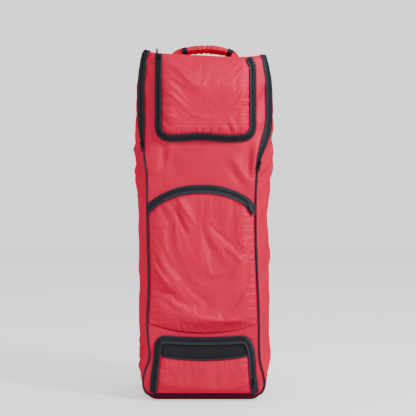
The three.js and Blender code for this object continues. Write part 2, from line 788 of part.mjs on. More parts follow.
// A main zip: up the front corner, over the top and back along the top's side edge. The inner half of
// its band lies on the front and then on the top, and the outer half on the side.
function mainZip(hand) {
  const low = hand > 0 ? rightZipEnd : leftZipEnd;
  const climb = zipClimbShare;
  const inner = (a, t) => {
    const beside = hand * lerp(-mainZipWidth / 2, mainZipWidth / 2, a);
    const height = lerp(low, bodyHeight, clamp(t / climb, 0, 1));
    const back = (0.97 * cornerStart * clamp(t - climb, 0, 1)) / (1 - climb);
    if (beside <= 0) {
      const round = besideCorner(hand, height, beside);
      const point = t <= climb ? wallPoint(round, height) : topPoint(round, back);
      return lift(point, zipClearance + topZipSpare * ramp(t, climb - 0.1, climb));
    }
    const fall = (Math.PI / 2) * ramp(t, climb - 0.09, climb + 0.05);
    const turn = Math.abs(besideCorner(hand, height, beside * Math.cos(fall))) + back;
    const point = wallPoint(hand * Math.min(turn, 1.98), height - beside * Math.sin(fall));
    return lift(point, zipClearance + topZipSpare * ramp(t, climb - 0.1, climb));
  };
  return { inner, across: 4, along: 26 };
}

// Moves a point outwards from the shell
function lift(point, length) {
  return point.addScaledVector(inwardAt(point), -length);
}

// The piping's route: down one front corner, along the front's lower edge and up the other corner
function pipingRoute() {
  const out = pipingRadius + pipingClearance;
  const corner = (round, height) => lift(wallPoint(round, height), out);
  const low = wallFoot + 3;
  const climb = [0.98, 0.9, 0.8, 0.7, 0.6, 0.5, 0.4, 0.3, 0.22, 0.15, 0.1, 0.065, 0.04, 0.022, 0.008];
  const up = (hand) => climb.map((share) => corner(hand, lerp(low, hand > 0 ? rightZipEnd : leftZipEnd, share)));
  const across = [-0.97, -0.8, -0.6, -0.3, 0, 0.3, 0.6, 0.8, 0.97].map((round) => corner(round, low));
  return new THREE.CatmullRomCurve3([...up(-1), ...across, ...up(1).reverse()], false, "centripetal");
}

function piping() {
  const section = new THREE.Shape().absarc(0, 0, pipingRadius, 0, 2 * Math.PI);
  return new THREE.ExtrudeGeometry(section, {
    steps: 56,
    curveSegments: 4,
    bevelEnabled: false,
    extrudePath: pipingRoute(),
  });
}

// Height of the top panel's outer face along the handle's line
function topLevel(x) {
  const half = wallPoint(1.5, bodyHeight).x;
  return topPoint(clamp(x / half, -1, 1), 0.5 + handlePlace / bodyDepth).z;
}

// The webbing's route from foot to foot: places across are shares of half the span, heights of the rise
const handleRoute = [
  { across: -1.32, up: 0 },
  { across: -1.12, up: 0 },
  { across: -1.0, up: 0.05 },
  { across: -0.93, up: 0.4 },
  { across: -0.8, up: 0.72 },
  { across: -0.6, up: 0.87 },
  { across: -0.3, up: 0.97 },
  { across: 0.1, up: 1 },
  { across: 0.5, up: 0.96 },
  { across: 0.8, up: 0.86 },
  { across: 0.97, up: 0.68 },
  { across: 1.03, up: 0.4 },
  { across: 1.07, up: 0.08 },
  { across: 1.18, up: 0 },
  { across: 1.36, up: 0 },
];

const handleLine = new THREE.CatmullRomCurve3(
  handleRoute.map((row) => {
    const x = (row.across * handleSpan) / 2;
    return new THREE.Vector3(x, handlePlace, topLevel(x) + zipClearance + row.up * handleRise);
  }),
  false,
  "centripetal",
);

// Place at a share of the handle's line, moved across the webbing and away from its lower face
function handlePoint(share, across, up) {
  const point = handleLine.getPointAt(share);
  const way = handleLine.getTangentAt(share);
  return new THREE.Vector3(point.x - way.z * up, point.y + across, point.z + way.x * up);
}

function webbing() {
  const inner = (a, t) => handlePoint(t, lerp(webbingWidth / 2, -webbingWidth / 2, a), 0);
  return clothOn(inner, webbingThickness, 1, 28);
}

const sleeveSides = 16;

// A sleeve round the webbing: outside(part) gives the half width and half height of its outer face,
// and boreAt(part, k) the place of corner k of its inner face, across and up from the webbing's middle
function sleeve(start, end, steps, outside, boreAt) {
  const middle = webbingThickness / 2;
  const positions = [];
  const index = [];
  for (let j = 0; j <= steps; j += 1) {
    const part = j / steps;
    const share = lerp(start, end, part);
    const half = outside(part);
    for (let k = 0; k < sleeveSides; k += 1) {
      const turn = (k / sleeveSides) * 2 * Math.PI;
      const outer = handlePoint(share, half.wide * Math.cos(turn), middle + half.high * Math.sin(turn));
      const hole = boreAt(part, k);
      const inner = handlePoint(share, hole.across, middle + hole.up);
      positions.push(outer.x, outer.y, outer.z, inner.x, inner.y, inner.z);
    }
  }
  const at = (j, k, side) => (j * sleeveSides + (k % sleeveSides)) * 2 + side;
  const quad = (a, b, c, d) => index.push(a, b, c, a, c, d);
  for (let k = 0; k < sleeveSides; k += 1) {
    for (let j = 0; j < steps; j += 1) {
      quad(at(j, k, 0), at(j, k + 1, 0), at(j + 1, k + 1, 0), at(j + 1, k, 0));
      quad(at(j, k, 1), at(j + 1, k, 1), at(j + 1, k + 1, 1), at(j, k + 1, 1));
    }
    quad(at(0, k, 0), at(0, k, 1), at(0, k + 1, 1), at(0, k + 1, 0));
    quad(at(steps, k, 0), at(steps, k + 1, 0), at(steps, k + 1, 1), at(steps, k, 1));
  }
  return indexedGeometry(positions, index);
}

function gripHalf(share) {
  const size = columnAt(gripSections, "along", "size", share);
  return { wide: (gripWidth / 2) * size, high: (gripHeight / 2) * size };
}

// Corners of the flat slot through the grip, as shares of its half width and half height
const slotAcross = [1, 1, 0.6, 0.3, 0, -0.3, -0.6, -1];
const slotUp = [0, 1, 1, 1, 1, 1, 1, 1];

function grip() {
  const slotAt = (part, k) => {
    const sign = k < sleeveSides / 2 ? 1 : -1;
    return {
      across: sign * slotAcross[k % 8] * (webbingWidth / 2 + gripBore),
      up: sign * slotUp[k % 8] * (webbingThickness / 2 + gripBore),
    };
  };
  return sleeve(gripStart, gripEnd, 10, gripHalf, slotAt);
}

// A cuff over one end of the grip; its bore follows the grip
function cuff(atEnd) {
  const share = cuffLength / handleLine.getLength();
  const start = atEnd ? gripEnd - share : gripStart;
  const halfAt = (part, room) => {
    const half = gripHalf((start + part * share - gripStart) / (gripEnd - gripStart));
    return { wide: half.wide + room, high: half.high + room };
  };
  const boreAt = (part, k) => {
    const turn = (k / sleeveSides) * 2 * Math.PI;
    const half = halfAt(part, cuffClearance);
    return { across: half.wide * Math.cos(turn), up: half.high * Math.sin(turn) };
  };
  return sleeve(start, start + share, 2, (part) => halfAt(part, cuffClearance + cuffWall), boreAt);
}

// Turns a closed geometry into a solid that can be joined and cut, and back
function toSolid(geometry) {
  const bare = geometry.clone();
  bare.deleteAttribute("normal");
  bare.deleteAttribute("uv");
  const merged = mergeVertices(bare, 1e-4);
  return new wasm.Manifold(
    new wasm.Mesh({
      numProp: 3,
      vertProperties: Float32Array.from(merged.attributes.position.array),
      triVerts: Uint32Array.from(merged.index.array),
    }),
  );
}

function fromSolid(solid) {
  const mesh = solid.getMesh();
  return indexedGeometry(Array.from(mesh.vertProperties), Array.from(mesh.triVerts));
}

// A zip slider in its own frame: X across the zip, Y towards the pull's free end, Z away from the zip
function slider() {
  const nose = sliderLength / 2;
  const wide = sliderWidth / 2;
  const outline = new THREE.Shape([
    new THREE.Vector2(-wide * 0.55, -nose),
    new THREE.Vector2(wide * 0.55, -nose),
    new THREE.Vector2(wide, -nose * 0.3),
    new THREE.Vector2(wide * 0.8, nose * 0.85),
    new THREE.Vector2(wide * 0.6, nose),
    new THREE.Vector2(-wide * 0.6, nose),
    new THREE.Vector2(-wide * 0.8, nose * 0.85),
    new THREE.Vector2(-wide, -nose * 0.3),
  ]);
  const plate = new THREE.ExtrudeGeometry(outline, { depth: sliderPlate, bevelEnabled: false });
  const long = bridgeLength / 2;
  const inside = pullBar / 2 + pullClearance;
  const high = 2 * inside + bridgeWall;
  const arch = new THREE.Shape([
    new THREE.Vector2(-long, -seamGap),
    new THREE.Vector2(-long, high * 0.55),
    new THREE.Vector2(-long * 0.65, high),
    new THREE.Vector2(long * 0.65, high),
    new THREE.Vector2(long, high * 0.55),
    new THREE.Vector2(long, -seamGap),
    new THREE.Vector2(long - bridgeWall, -seamGap),
    new THREE.Vector2(long - bridgeWall, 2 * inside),
    new THREE.Vector2(-long + bridgeWall, 2 * inside),
    new THREE.Vector2(-long + bridgeWall, -seamGap),
  ]);
  const bridge = new THREE.ExtrudeGeometry(arch, { depth: bridgeWidth, bevelEnabled: false });
  bridge.translate(0, 0, -bridgeWidth / 2);
  bridge.applyMatrix4(
    new THREE.Matrix4().makeBasis(
      new THREE.Vector3(0, 1, 0),
      new THREE.Vector3(0, 0, 1),
      new THREE.Vector3(1, 0, 0),
    ),
  );
  bridge.translate(0, 0, sliderPlate);
  return fromSolid(toSolid(plate).add(toSolid(bridge)));
}

// Height of the pull's pin over the slider's lower face
const pinHeight = sliderPlate + pullBar / 2 + pullClearance;

// A zip pull in the same frame, with its pin on the X axis and its eye at the far end
function pull() {
  const rail = pullWidth / 2;
  const windowHalf = bridgeWidth / 2 + pullClearance * 0.8;
  const start = -pullBar / 2;
  const eyeAt = pullLength - pullEye;
  const outline = new THREE.Shape([
    new THREE.Vector2(-rail, start),
    new THREE.Vector2(rail, start),
    new THREE.Vector2(rail, pullWindow + pullBar),
    new THREE.Vector2(rail * 0.7, pullWindow + 2 * pullBar),
    new THREE.Vector2(rail * 0.7, eyeAt),
    new THREE.Vector2(-rail * 0.7, eyeAt),
    new THREE.Vector2(-rail * 0.7, pullWindow + 2 * pullBar),
    new THREE.Vector2(-rail, pullWindow + pullBar),
  ]);
  const blade = new THREE.ExtrudeGeometry(outline, { depth: pullBar, bevelEnabled: false });
  blade.translate(0, 0, -pullBar / 2);
  const ring = new THREE.CylinderGeometry(pullEye, pullEye, pullBar, 12).rotateX(Math.PI / 2).translate(0, eyeAt, 0);
  const eye = new THREE.CylinderGeometry(pullEye - pullEyeRim, pullEye - pullEyeRim, 2 * pullBar, 8)
    .rotateX(Math.PI / 2)
    .translate(0, eyeAt, 0);
  const gap = new THREE.BoxGeometry(2 * windowHalf, pullWindow - pullBar / 2, 2 * pullBar);
  gap.translate(0, (pullWindow + pullBar / 2) / 2, 0);
  return fromSolid(toSolid(blade).add(toSolid(ring)).subtract(toSolid(eye)).subtract(toSolid(gap)));
}

// Seats a slider and its pull on a zip: the place is a share of the zip's length, the free end of the
// pull points along the zip's line by its sign, and lean turns the pull about its pin, in degrees
function addSlider(name, zip, place, sign, lean) {
  const seat = zip.inner(0.5, place);
  const normal = sheetNormal(zip.inner, 0.5, place);
  seat.addScaledVector(normal, zipThickness + seamGap);
  const step = 0.01;
  const way = zip.inner(0.5, Math.min(place + step, 1)).sub(zip.inner(0.5, Math.max(place - step, 0)));
  way.multiplyScalar(sign).addScaledVector(normal, -way.dot(normal) * sign).normalize();
  const across = way.clone().cross(normal);
  const frame = new THREE.Matrix4().makeBasis(across, way, normal).setPosition(seat);
  addPiece(name + "_slider", slider().applyMatrix4(frame), steel);
  const swing = new THREE.Matrix4().makeRotationX(radians(lean)).setPosition(0, 0, pinHeight);
  const piece = addPiece(name + "_pull", pull().applyMatrix4(swing).applyMatrix4(frame), steel);
  const pin = new THREE.Vector3(0, 0, pinHeight).applyMatrix4(frame);
  piece.userData = { pin: pin.toArray(), axis: across.toArray() };
}

const topZip = zipOver(topZipLine(), topZipWidth, topPocketRise, 30);
const middleZip = zipOver(middleZipLine(), archZipWidth, middlePocketRise, 18);
const shoeZip = zipOver(shoeZipLine(), shoeZipWidth, shoePocketRise, 30);
const mainZipRight = mainZip(1);
const mainZipLeft = mainZip(-1);

addPiece("front_panel", frontPanel(), red);
addPiece("side_panel_right", sidePanel(1), red);
addPiece("side_panel_left", sidePanel(-1), red);
addPiece("back_panel", backPanel(), red);
addPiece("top_panel", topPanel(), red);
addPiece("base_panel", basePanel(), red);
addPiece("top_pocket_panel", topPocketPanel(), red);
addPiece("middle_pocket_panel", middlePocketPanel(), red);
addPiece("shoe_pocket_panel", shoePanel(), red);
addPiece("shoe_pocket_mesh", shoeMesh(), black);
addPiece("shoe_mesh_binding", meshBinding(), black);
[
  ["top_pocket_zip", topZip],
  ["middle_pocket_zip", middleZip],
  ["shoe_pocket_zip", shoeZip],
  ["main_zip_right", mainZipRight],
  ["main_zip_left", mainZipLeft],
].forEach(([name, zip]) => addPiece(name, clothOn(zip.inner, zipThickness, zip.across, zip.along), black));
addPiece("front_piping", piping(), black);
addPiece("handle_webbing", webbing(), red);
addPiece("handle_grip", grip(), red);
addPiece("handle_cuff_left", cuff(false), black);
addPiece("handle_cuff_right", cuff(true), black);
addSlider("main_zip_right", mainZipRight, 0.035, -1, 0);
addSlider("main_zip_left", mainZipLeft, 0.035, -1, 0);
addSlider("top_pocket_zip", topZip, 0.966, 1, 0);
addSlider("middle_pocket_zip", middleZip, 0.955, 1, 0);
addSlider("shoe_pocket_zip", shoeZip, 0.885, 1, 0);

export default bag;
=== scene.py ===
import bpy
import numpy as np
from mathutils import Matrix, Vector


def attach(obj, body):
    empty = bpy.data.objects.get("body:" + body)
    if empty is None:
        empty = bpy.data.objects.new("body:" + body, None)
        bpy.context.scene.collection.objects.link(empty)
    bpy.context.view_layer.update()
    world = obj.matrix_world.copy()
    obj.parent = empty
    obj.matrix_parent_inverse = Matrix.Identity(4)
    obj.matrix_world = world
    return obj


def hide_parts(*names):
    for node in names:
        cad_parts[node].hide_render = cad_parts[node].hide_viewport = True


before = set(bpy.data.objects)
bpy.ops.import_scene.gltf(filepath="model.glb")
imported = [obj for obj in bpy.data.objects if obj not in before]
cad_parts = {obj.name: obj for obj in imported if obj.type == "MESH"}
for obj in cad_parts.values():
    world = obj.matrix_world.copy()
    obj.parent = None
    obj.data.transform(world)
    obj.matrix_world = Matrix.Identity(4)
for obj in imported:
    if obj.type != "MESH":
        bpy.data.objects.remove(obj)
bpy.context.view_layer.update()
print("frame loaded")

# Shape of the sewn shell, in metres. The rows are shares of the half width, half depth and height.
shell = {
    "height": 0.796,
    "width": 0.328,
    "depth": 0.302,
    "backRadius": 0.036,
    "cornerStart": 0.7,
    "cornerSharpness": 6,
    "topCrown": 0.005,
    "settleFrom": 0.86,
    "columnsFront": 46,
    "columnsSide": 46,
    "rows": 120,
    "seamGroove": 0.0012,
    "seamWidth": 0.003,
}
sectionRows = np.array([
    # height, front, belly, back, reach, corner, turn, shift
    [0.0126, 0.77, 0.79, 0.72, 0.914, 0.907, 60, -0.006],
    [0.025, 0.82, 0.855, 0.79, 0.967, 0.955, 60, -0.004],
    [0.045, 0.852, 0.9, 0.835, 0.987, 0.974, 62, -0.004],
    [0.08, 0.829, 0.938, 0.86, 1, 0.985, 64, -0.0055],
    [0.12, 0.774, 0.951, 0.872, 1, 0.987, 65, 0],
    [0.17, 0.777, 0.951, 0.878, 1, 0.987, 65, -0.006],
    [0.24, 0.784, 0.96, 0.884, 1, 0.987, 65, -0.01],
    [0.33, 0.765, 0.963, 0.89, 1, 0.985, 65, -0.009],
    [0.44, 0.76, 0.957, 0.89, 1, 0.985, 66, -0.017],
    [0.54, 0.761, 0.957, 0.89, 1, 0.98, 66, -0.0215],
    [0.64, 0.769, 0.976, 0.896, 1, 0.975, 64, -0.019],
    [0.7, 0.805, 0.991, 0.896, 1, 0.955, 58, -0.017],
    [0.745, 0.857, 0.997, 0.9, 1, 0.9, 54, -0.006],
    [0.795, 0.905, 0.997, 0.902, 1, 0.82, 50, 0],
    [0.88, 0.918, 0.991, 0.902, 0.994, 0.795, 50, 0],
    [0.927, 0.91, 0.973, 0.896, 0.987, 0.788, 50, 0],
    [0.965, 0.893, 0.925, 0.872, 0.967, 0.781, 50, 0],
    [0.987, 0.875, 0.887, 0.848, 0.94, 0.77, 50, 0],
    [1, 0.852, 0.858, 0.82, 0.885, 0.74, 50, 0],
])
sectionNames = ["front", "belly", "back", "reach", "corner", "turn", "shift"]
topEdge = np.array([
    [-1, 0.02],
    [-0.87, 0.018],
    [-0.67, 0.009],
    [-0.4, 0.004],
    [0, 0],
    [0.45, -0.004],
    [0.68, -0.001],
    [0.78, 0.003],
    [1, 0],
])
# Folds: place as a share of the face's half size, height, turn from level in degrees, length, width, depth
wallFolds = {
    "right": [
        [-0.42, 0.735, 38, 0.075, 0.022, -0.008],
        [-0.3, 0.675, 40, 0.09, 0.024, 0.009],
        [-0.45, 0.615, 42, 0.08, 0.022, -0.009],
        [0.1, 0.56, 30, 0.1, 0.026, -0.007],
        [-0.1, 0.4, 62, 0.13, 0.03, -0.007],
        [-0.5, 0.22, 50, 0.09, 0.024, -0.006],
        [0.2, 0.12, 20, 0.1, 0.022, -0.008],
    ],
    "left": [
        [-0.2, 0.775, -25, 0.08, 0.022, 0.006],
        [-0.1, 0.715, -20, 0.1, 0.024, -0.009],
        [0, 0.66, -35, 0.1, 0.024, 0.006],
        [0.2, 0.55, -40, 0.12, 0.028, -0.007],
        [-0.1, 0.36, -60, 0.12, 0.03, -0.006],
        [0, 0.155, 10, 0.12, 0.024, -0.008],
    ],
    "back": [
        [0.3, 0.72, -50, 0.13, 0.035, -0.008],
        [-0.35, 0.5, 65, 0.15, 0.035, -0.008],
        [0.2, 0.28, 40, 0.14, 0.035, -0.008],
    ],
    "front": [
        [0.62, 0.685, 70, 0.05, 0.022, -0.006],
        [-0.45, 0.68, -60, 0.05, 0.024, -0.005],
    ],
}
pocketFolds = [
    [-0.2, 0.93, -42, 0.07, 0.02, 0.004],
    [-0.42, 0.845, 8, 0.05, 0.018, 0.004],
    [0.38, 0.8, 65, 0.04, 0.018, -0.003],
    [-0.22, 0.52, -48, 0.1, 0.024, 0.007],
    [0.1, 0.44, -55, 0.11, 0.028, -0.006],
    [-0.45, 0.36, -50, 0.07, 0.022, 0.006],
    [0.5, 0.35, 75, 0.12, 0.026, 0.005],
    [0.1, 0.245, -8, 0.12, 0.022, 0.006],
]


def ramp(value, start, end):
    share = np.clip((value - start) / (end - start), 0, 1)
    return share * share * (3 - 2 * share)


def easeOut(share):
    return 1 - (1 - np.clip(share, 0, 1)) ** 2


def curveAt(places, values, place):
    place = np.clip(place, places[0], places[-1])
    row = np.clip(np.searchsorted(places, place, side="right") - 1, 0, len(places) - 2)
    slopes = np.gradient(values)
    slopes[1:-1] = (values[2:] - values[:-2]) / (places[2:] - places[:-2])
    slopes[0] = (values[1] - values[0]) / (places[1] - places[0])
    slopes[-1] = (values[-1] - values[-2]) / (places[-1] - places[-2])
    span = places[row + 1] - places[row]
    share = (place - places[row]) / span
    square = share * share
    cube = square * share
    return (
        (2 * cube - 3 * square + 1) * values[row]
        + (cube - 2 * square + share) * slopes[row] * span
        + (3 * square - 2 * cube) * values[row + 1]
        + (cube - square) * slopes[row + 1] * span
    )


def foldSum(folds, half, across, height):
    total = np.zeros(np.broadcast(across, height).shape)
    size = shell["height"]
    for place, level, turn, length, width, depth in folds:
        angle = np.radians(turn)
        right = across - place * half
        up = height - level * size
        along = right * np.cos(angle) + up * np.sin(angle)
        beside = up * np.cos(angle) - right * np.sin(angle)
        spread = (along / (length * size)) ** 2 + (beside / (width * size)) ** 2
        total = total + depth * size * np.exp(-spread)
    return total


def sectionAt(height):
    share = height / shell["height"]
    cut = {}
    for column, name in enumerate(sectionNames):
        cut[name] = curveAt(sectionRows[:, 0], sectionRows[:, column + 1], share)
    for name in ("front", "belly", "back"):
        cut[name] = cut[name] * shell["width"] / 2
    for name in ("reach", "corner"):
        cut[name] = cut[name] * shell["depth"] / 2
    cut["turn"] = np.radians(cut["turn"])
    cut["shift"] = cut["shift"] * shell["width"]
    return cut


def edgeLift(x):
    return curveAt(topEdge[:, 0], topEdge[:, 1], np.clip(2 * x / shell["width"], -1, 1)) * shell["height"]


def settled(x, y, z):
    lift = edgeLift(x) * ramp(z, shell["settleFrom"] * shell["height"], shell["height"])
    return np.stack([x, y, z + lift], axis=-1)


# Outer face of the shell: turn is 0 at the front's middle, 1 at the right front corner, 2 where the right
# side meets the back and 3 at the back's middle, and negative on the left
def wallPoint(turn, height):
    turn, height = np.broadcast_arrays(np.asarray(turn, float), np.asarray(height, float))
    cut = sectionAt(height)
    hand = np.where(turn < 0, -1.0, 1.0)
    way = np.abs(turn)
    near = np.minimum(way, 1)
    frontX = cut["shift"] + hand * near * cut["front"]
    frontY = -cut["reach"] + (cut["reach"] - cut["corner"]) * near ** shell["cornerSharpness"]
    frontY = frontY - foldSum(wallFolds["front"], shell["width"] / 2, frontX, height) * (1 - near**4)
    share = np.clip(way - 1, 0, 1)
    bend = shell["cornerStart"]
    radius = shell["backRadius"]
    out = (cut["belly"] - (cut["front"] + cut["back"]) / 8) / 0.75
    backY = cut["reach"] - radius
    s = np.clip(share / bend, 0, 1)
    curve = [(1 - s) ** 3, 3 * s * (1 - s) ** 2, 3 * s * s * (1 - s), s**3]
    cornerY = -cut["corner"]
    handleY = cornerY + np.maximum(out - cut["front"], 0.012) * np.tan(cut["turn"])
    bezierX = curve[0] * cut["front"] + (curve[1] + curve[2]) * out + curve[3] * cut["back"]
    bezierY = curve[0] * cornerY + curve[1] * handleY + curve[2] * backY * 0.4 + curve[3] * backY
    angle = np.clip((share - bend) / (1 - bend), 0, 1) * np.pi / 2
    sideX = np.where(share < bend, bezierX, cut["back"] - radius * (1 - np.cos(angle)))
    sideY = np.where(share < bend, bezierY, backY + radius * np.sin(angle))
    rightFold = foldSum(wallFolds["right"], shell["depth"] / 2, sideY, height)
    leftFold = foldSum(wallFolds["left"], shell["depth"] / 2, sideY, height)
    sideX = sideX + np.where(hand > 0, rightFold, leftFold) * np.sin(np.pi * share)
    sideX = hand * sideX + cut["shift"] * (1 - share) ** 2
    rest = np.clip(way - 2, 0, 1)
    rearX = hand * (cut["back"] - radius) * (1 - rest)
    rearY = cut["reach"] + foldSum(wallFolds["back"], shell["width"] / 2, rearX, height) * rest
    x = np.where(way <= 1, frontX, np.where(way <= 2, sideX, rearX))
    y = np.where(way <= 1, frontY, np.where(way <= 2, sideY, rearY))
    return settled(x, y, height)


def outlinePoint(height, a, b):
    height = np.broadcast_to(height, np.broadcast(a, b).shape)
    side = wallPoint(1 + b, height)
    other = wallPoint(-1 - b, height)
    first = wallPoint(1, height)[..., 1]
    last = wallPoint(2, height)[..., 1]
    share = (side[..., 1] - first) / (last - first)
    front = wallPoint(a, height)[..., 1]
    back = wallPoint(np.where(a < 0, -3 - a, 3 - a), height)[..., 1]
    x = other[..., 0] + (side[..., 0] - other[..., 0]) * (a + 1) / 2
    return np.stack([x, front + (back - front) * share, height], axis=-1)


def topPoint(a, b):
    a, b = np.broadcast_arrays(np.asarray(a, float), np.asarray(b, float))
    point = outlinePoint(shell["height"], a, b)
    point[..., 2] += shell["topCrown"] * (1 - a * a) * (1 - (2 * b - 1) ** 2) + edgeLift(point[..., 0])
    return point


def frontLevel(x, height):
    cut = sectionAt(height)
    return wallPoint(np.clip((x - cut["shift"]) / cut["front"], -1, 1), height)[..., 1]


def inward(point):
    reach = np.array([shell["width"] * 0.33, shell["depth"] * 0.35])
    core = point.copy()
    core[..., 0] = np.clip(point[..., 0], -reach[0], reach[0])
    core[..., 1] = np.clip(point[..., 1], -reach[1], reach[1])
    core[..., 2] = np.clip(point[..., 2], shell["height"] * 0.06, shell["height"] * 0.94)
    way = core - point
    return way / np.linalg.norm(way, axis=-1, keepdims=True)


def unit(vectors):
    return vectors / np.maximum(np.linalg.norm(vectors, axis=-1, keepdims=True), 1e-12)


def gridNormals(points):
    return unit(np.cross(np.gradient(points, axis=1), np.gradient(points, axis=0)))


def evenly(points, count):
    steps = np.linalg.norm(np.diff(points, axis=0), axis=1)
    along = np.concatenate([[0], np.cumsum(steps)])
    places = np.linspace(0, along[-1], count)
    return np.stack([np.interp(places, along, column) for column in points.T], axis=-1)


def smoothLine(points, count=400):
    points = np.asarray(points, float)
    ends = np.vstack([2 * points[0] - points[1], points, 2 * points[-1] - points[-2]])
    gaps = np.sqrt(np.linalg.norm(np.diff(ends, axis=0), axis=1))
    share = np.linspace(0, 1, 24, endpoint=False)[:, None]
    parts = []
    for k in range(len(points) - 1):
        before, start, end, after = ends[k : k + 4]
        early, middle, late = gaps[k : k + 3]
        startSlope = (start - before) / early - (end - before) / (early + middle) + (end - start) / middle
        endSlope = (end - start) / middle - (after - start) / (middle + late) + (after - end) / late
        parts.append(
            (2 * share**3 - 3 * share**2 + 1) * start
            + (share**3 - 2 * share**2 + share) * startSlope * middle
            + (3 * share**2 - 2 * share**3) * end
            + (share**3 - share**2) * endSlope * middle
        )
    return evenly(np.vstack(parts + [points[-1:]]), count)


# Places on a line of the front at shares of its length, moved to its left by a length
def beside(line, share, offset):
    shares = np.linspace(0, 1, len(line))
    way = unit(np.gradient(line, axis=0))
    x = np.interp(share, shares, line[:, 0])
    z = np.interp(share, shares, line[:, 1])
    wayX = np.interp(share, shares, way[:, 0])
    wayZ = np.interp(share, shares, way[:, 1])
    return x - wayZ * offset, z + wayX * offset


# A sum of waves with seeded lengths and phases, from about -1 to 1
def waves(place, seed, longest, shortest, count=6):
    random = np.random.default_rng(seed)
    total = np.zeros_like(np.asarray(place, float))
    for _ in range(count):
        length = random.uniform(shortest, longest)
        total = total + np.sin(2 * np.pi * place / length + random.uniform(0, 2 * np.pi))
    return total / np.sqrt(count)


# Short gathers that run in from a seam and fade
def gathers(along, inside, seed, depth, reach, longest=0.022, shortest=0.008):
    fade = np.exp(-np.maximum(inside, 0) / reach) * (1 - np.exp(-np.maximum(inside, 0) / 0.003))
    return depth * waves(along, seed, longest, shortest) * fade


def seededCreases(across, height, seed, count, box, turns, length, width, depth):
    random = np.random.default_rng(seed)
    total = np.zeros(np.broadcast(across, height).shape)
    for _ in range(count):
        right = across - random.uniform(box[0], box[1])
        up = height - random.uniform(box[2], box[3])
        angle = np.radians(random.uniform(*turns))
        along = right * np.cos(angle) + up * np.sin(angle)
        side = up * np.cos(angle) - right * np.sin(angle)
        side = side + random.uniform(-8, 8) * along * along
        long = random.uniform(*length)
        wide = random.uniform(*width)
        high = random.uniform(*depth) * random.choice([-1, 1])
        total = total + high * np.exp(-((along / long) ** 2) - (side / wide) ** 2)
    return total


class Signal:
    def __init__(self, tree, socket=None):
        self.tree = tree
        self.socket = socket

    def node(self, kind, settings=None, inputs=None, output=0):
        made = self.tree.nodes.new("ShaderNode" + kind)
        for key, value in (settings or {}).items():
            setattr(made, key, value)
        for key, value in (inputs or {}).items():
            if isinstance(value, Signal):
                self.tree.links.new(value.socket, made.inputs[key])
            else:
                made.inputs[key].default_value = value
        return Signal(self.tree, made.outputs[output])

    def part(self, output):
        return Signal(self.tree, self.socket.node.outputs[output])

    def into(self, socket):
        self.tree.links.new(self.socket, socket)

    def maths(self, operation, first, second=0.5):
        return self.node("Math", {"operation": operation}, {0: first, 1: second})

    def __add__(self, other):
        return self.maths("ADD", self, other)

    def __radd__(self, other):
        return self.maths("ADD", other, self)

    def __sub__(self, other):
        return self.maths("SUBTRACT", self, other)

    def __rsub__(self, other):
        return self.maths("SUBTRACT", other, self)

    def __mul__(self, other):
        return self.maths("MULTIPLY", self, other)

    def __rmul__(self, other):
        return self.maths("MULTIPLY", other, self)

    def wave(self, pitch):
        return self.maths("SINE", self * (2 * np.pi / pitch))

    def above(self, level):
        return self.maths("GREATER_THAN", self, level)

    def blend(self, low, high):
        return self.node("Mix", {"data_type": "RGBA"}, {0: self, 6: low, 7: high}, output=2)


def newMaterial(name):
    material = bpy.data.materials.new(name)
    material.use_nodes = True
    tree = material.node_tree
    return material, tree.nodes["Principled BSDF"], Signal(tree)


def noiseOf(place, scale, detail, rough, kind="FBM"):
    values = {"Vector": place, "Scale": scale, "Detail": detail, "Roughness": rough}
    return place.node("TexNoise", {"noise_type": kind}, values)


def bumpInto(shader, height, distance=1.0):
    bump = height.node("Bump", {}, {"Height": height, "Strength": 1.0, "Distance": distance})
    bump.into(shader.inputs["Normal"])
    return bump


# Woven cloth: a matt body in two shades of one colour under a thin, tinted gloss
def clothMaterial(name, values):
    material, shader, signal = newMaterial(name)
    place = signal.node("TexCoord", output=3)
    broad = noiseOf(place, values["broadScale"], 2.0, 0.5)
    fine = noiseOf(place, values["fineScale"], 4.0, 0.6)
    tone = (broad - 0.5) * values["broadTone"] + (fine - 0.5) * values["fineTone"] + 0.5
    tone.blend(values["dark"], values["light"]).into(shader.inputs["Base Color"])
    rough = values["roughness"] + (fine - 0.5) * values["roughSpread"]
    rough.into(shader.inputs["Roughness"])
    shader.inputs["Specular IOR Level"].default_value = 0.0
    chart = signal.node("TexCoord", output=2)
    across = chart.node("SeparateXYZ", {}, {0: chart})
    weave = across.wave(values["pitch"]) * across.part(1).wave(values["pitch"])
    crumple = noiseOf(place, values["crumpleScale"], 3.0, 0.55)
    slanted = place.node(
        "Mapping", {}, {"Vector": place, "Rotation": values["foldTurn"], "Scale": values["foldSquash"]}
    )
    fold = noiseOf(slanted, values["foldScale"], 2.0, 0.4, "RIDGED_MULTIFRACTAL")
    height = weave * values["weaveDepth"] + crumple * values["crumpleDepth"] + fold * values["foldDepth"]
    bump = bumpInto(shader, height)
    glint = signal.node(
        "BsdfGlossy", {}, {"Color": values["glint"], "Roughness": values["glintRoughness"], "Normal": bump}
    )
    body = Signal(signal.tree, shader.outputs[0])
    mixed = signal.node("MixShader", {}, {0: values["gloss"], 1: body, 2: glint})
    mixed.into(signal.tree.nodes["Material Output"].inputs[0])
    return material


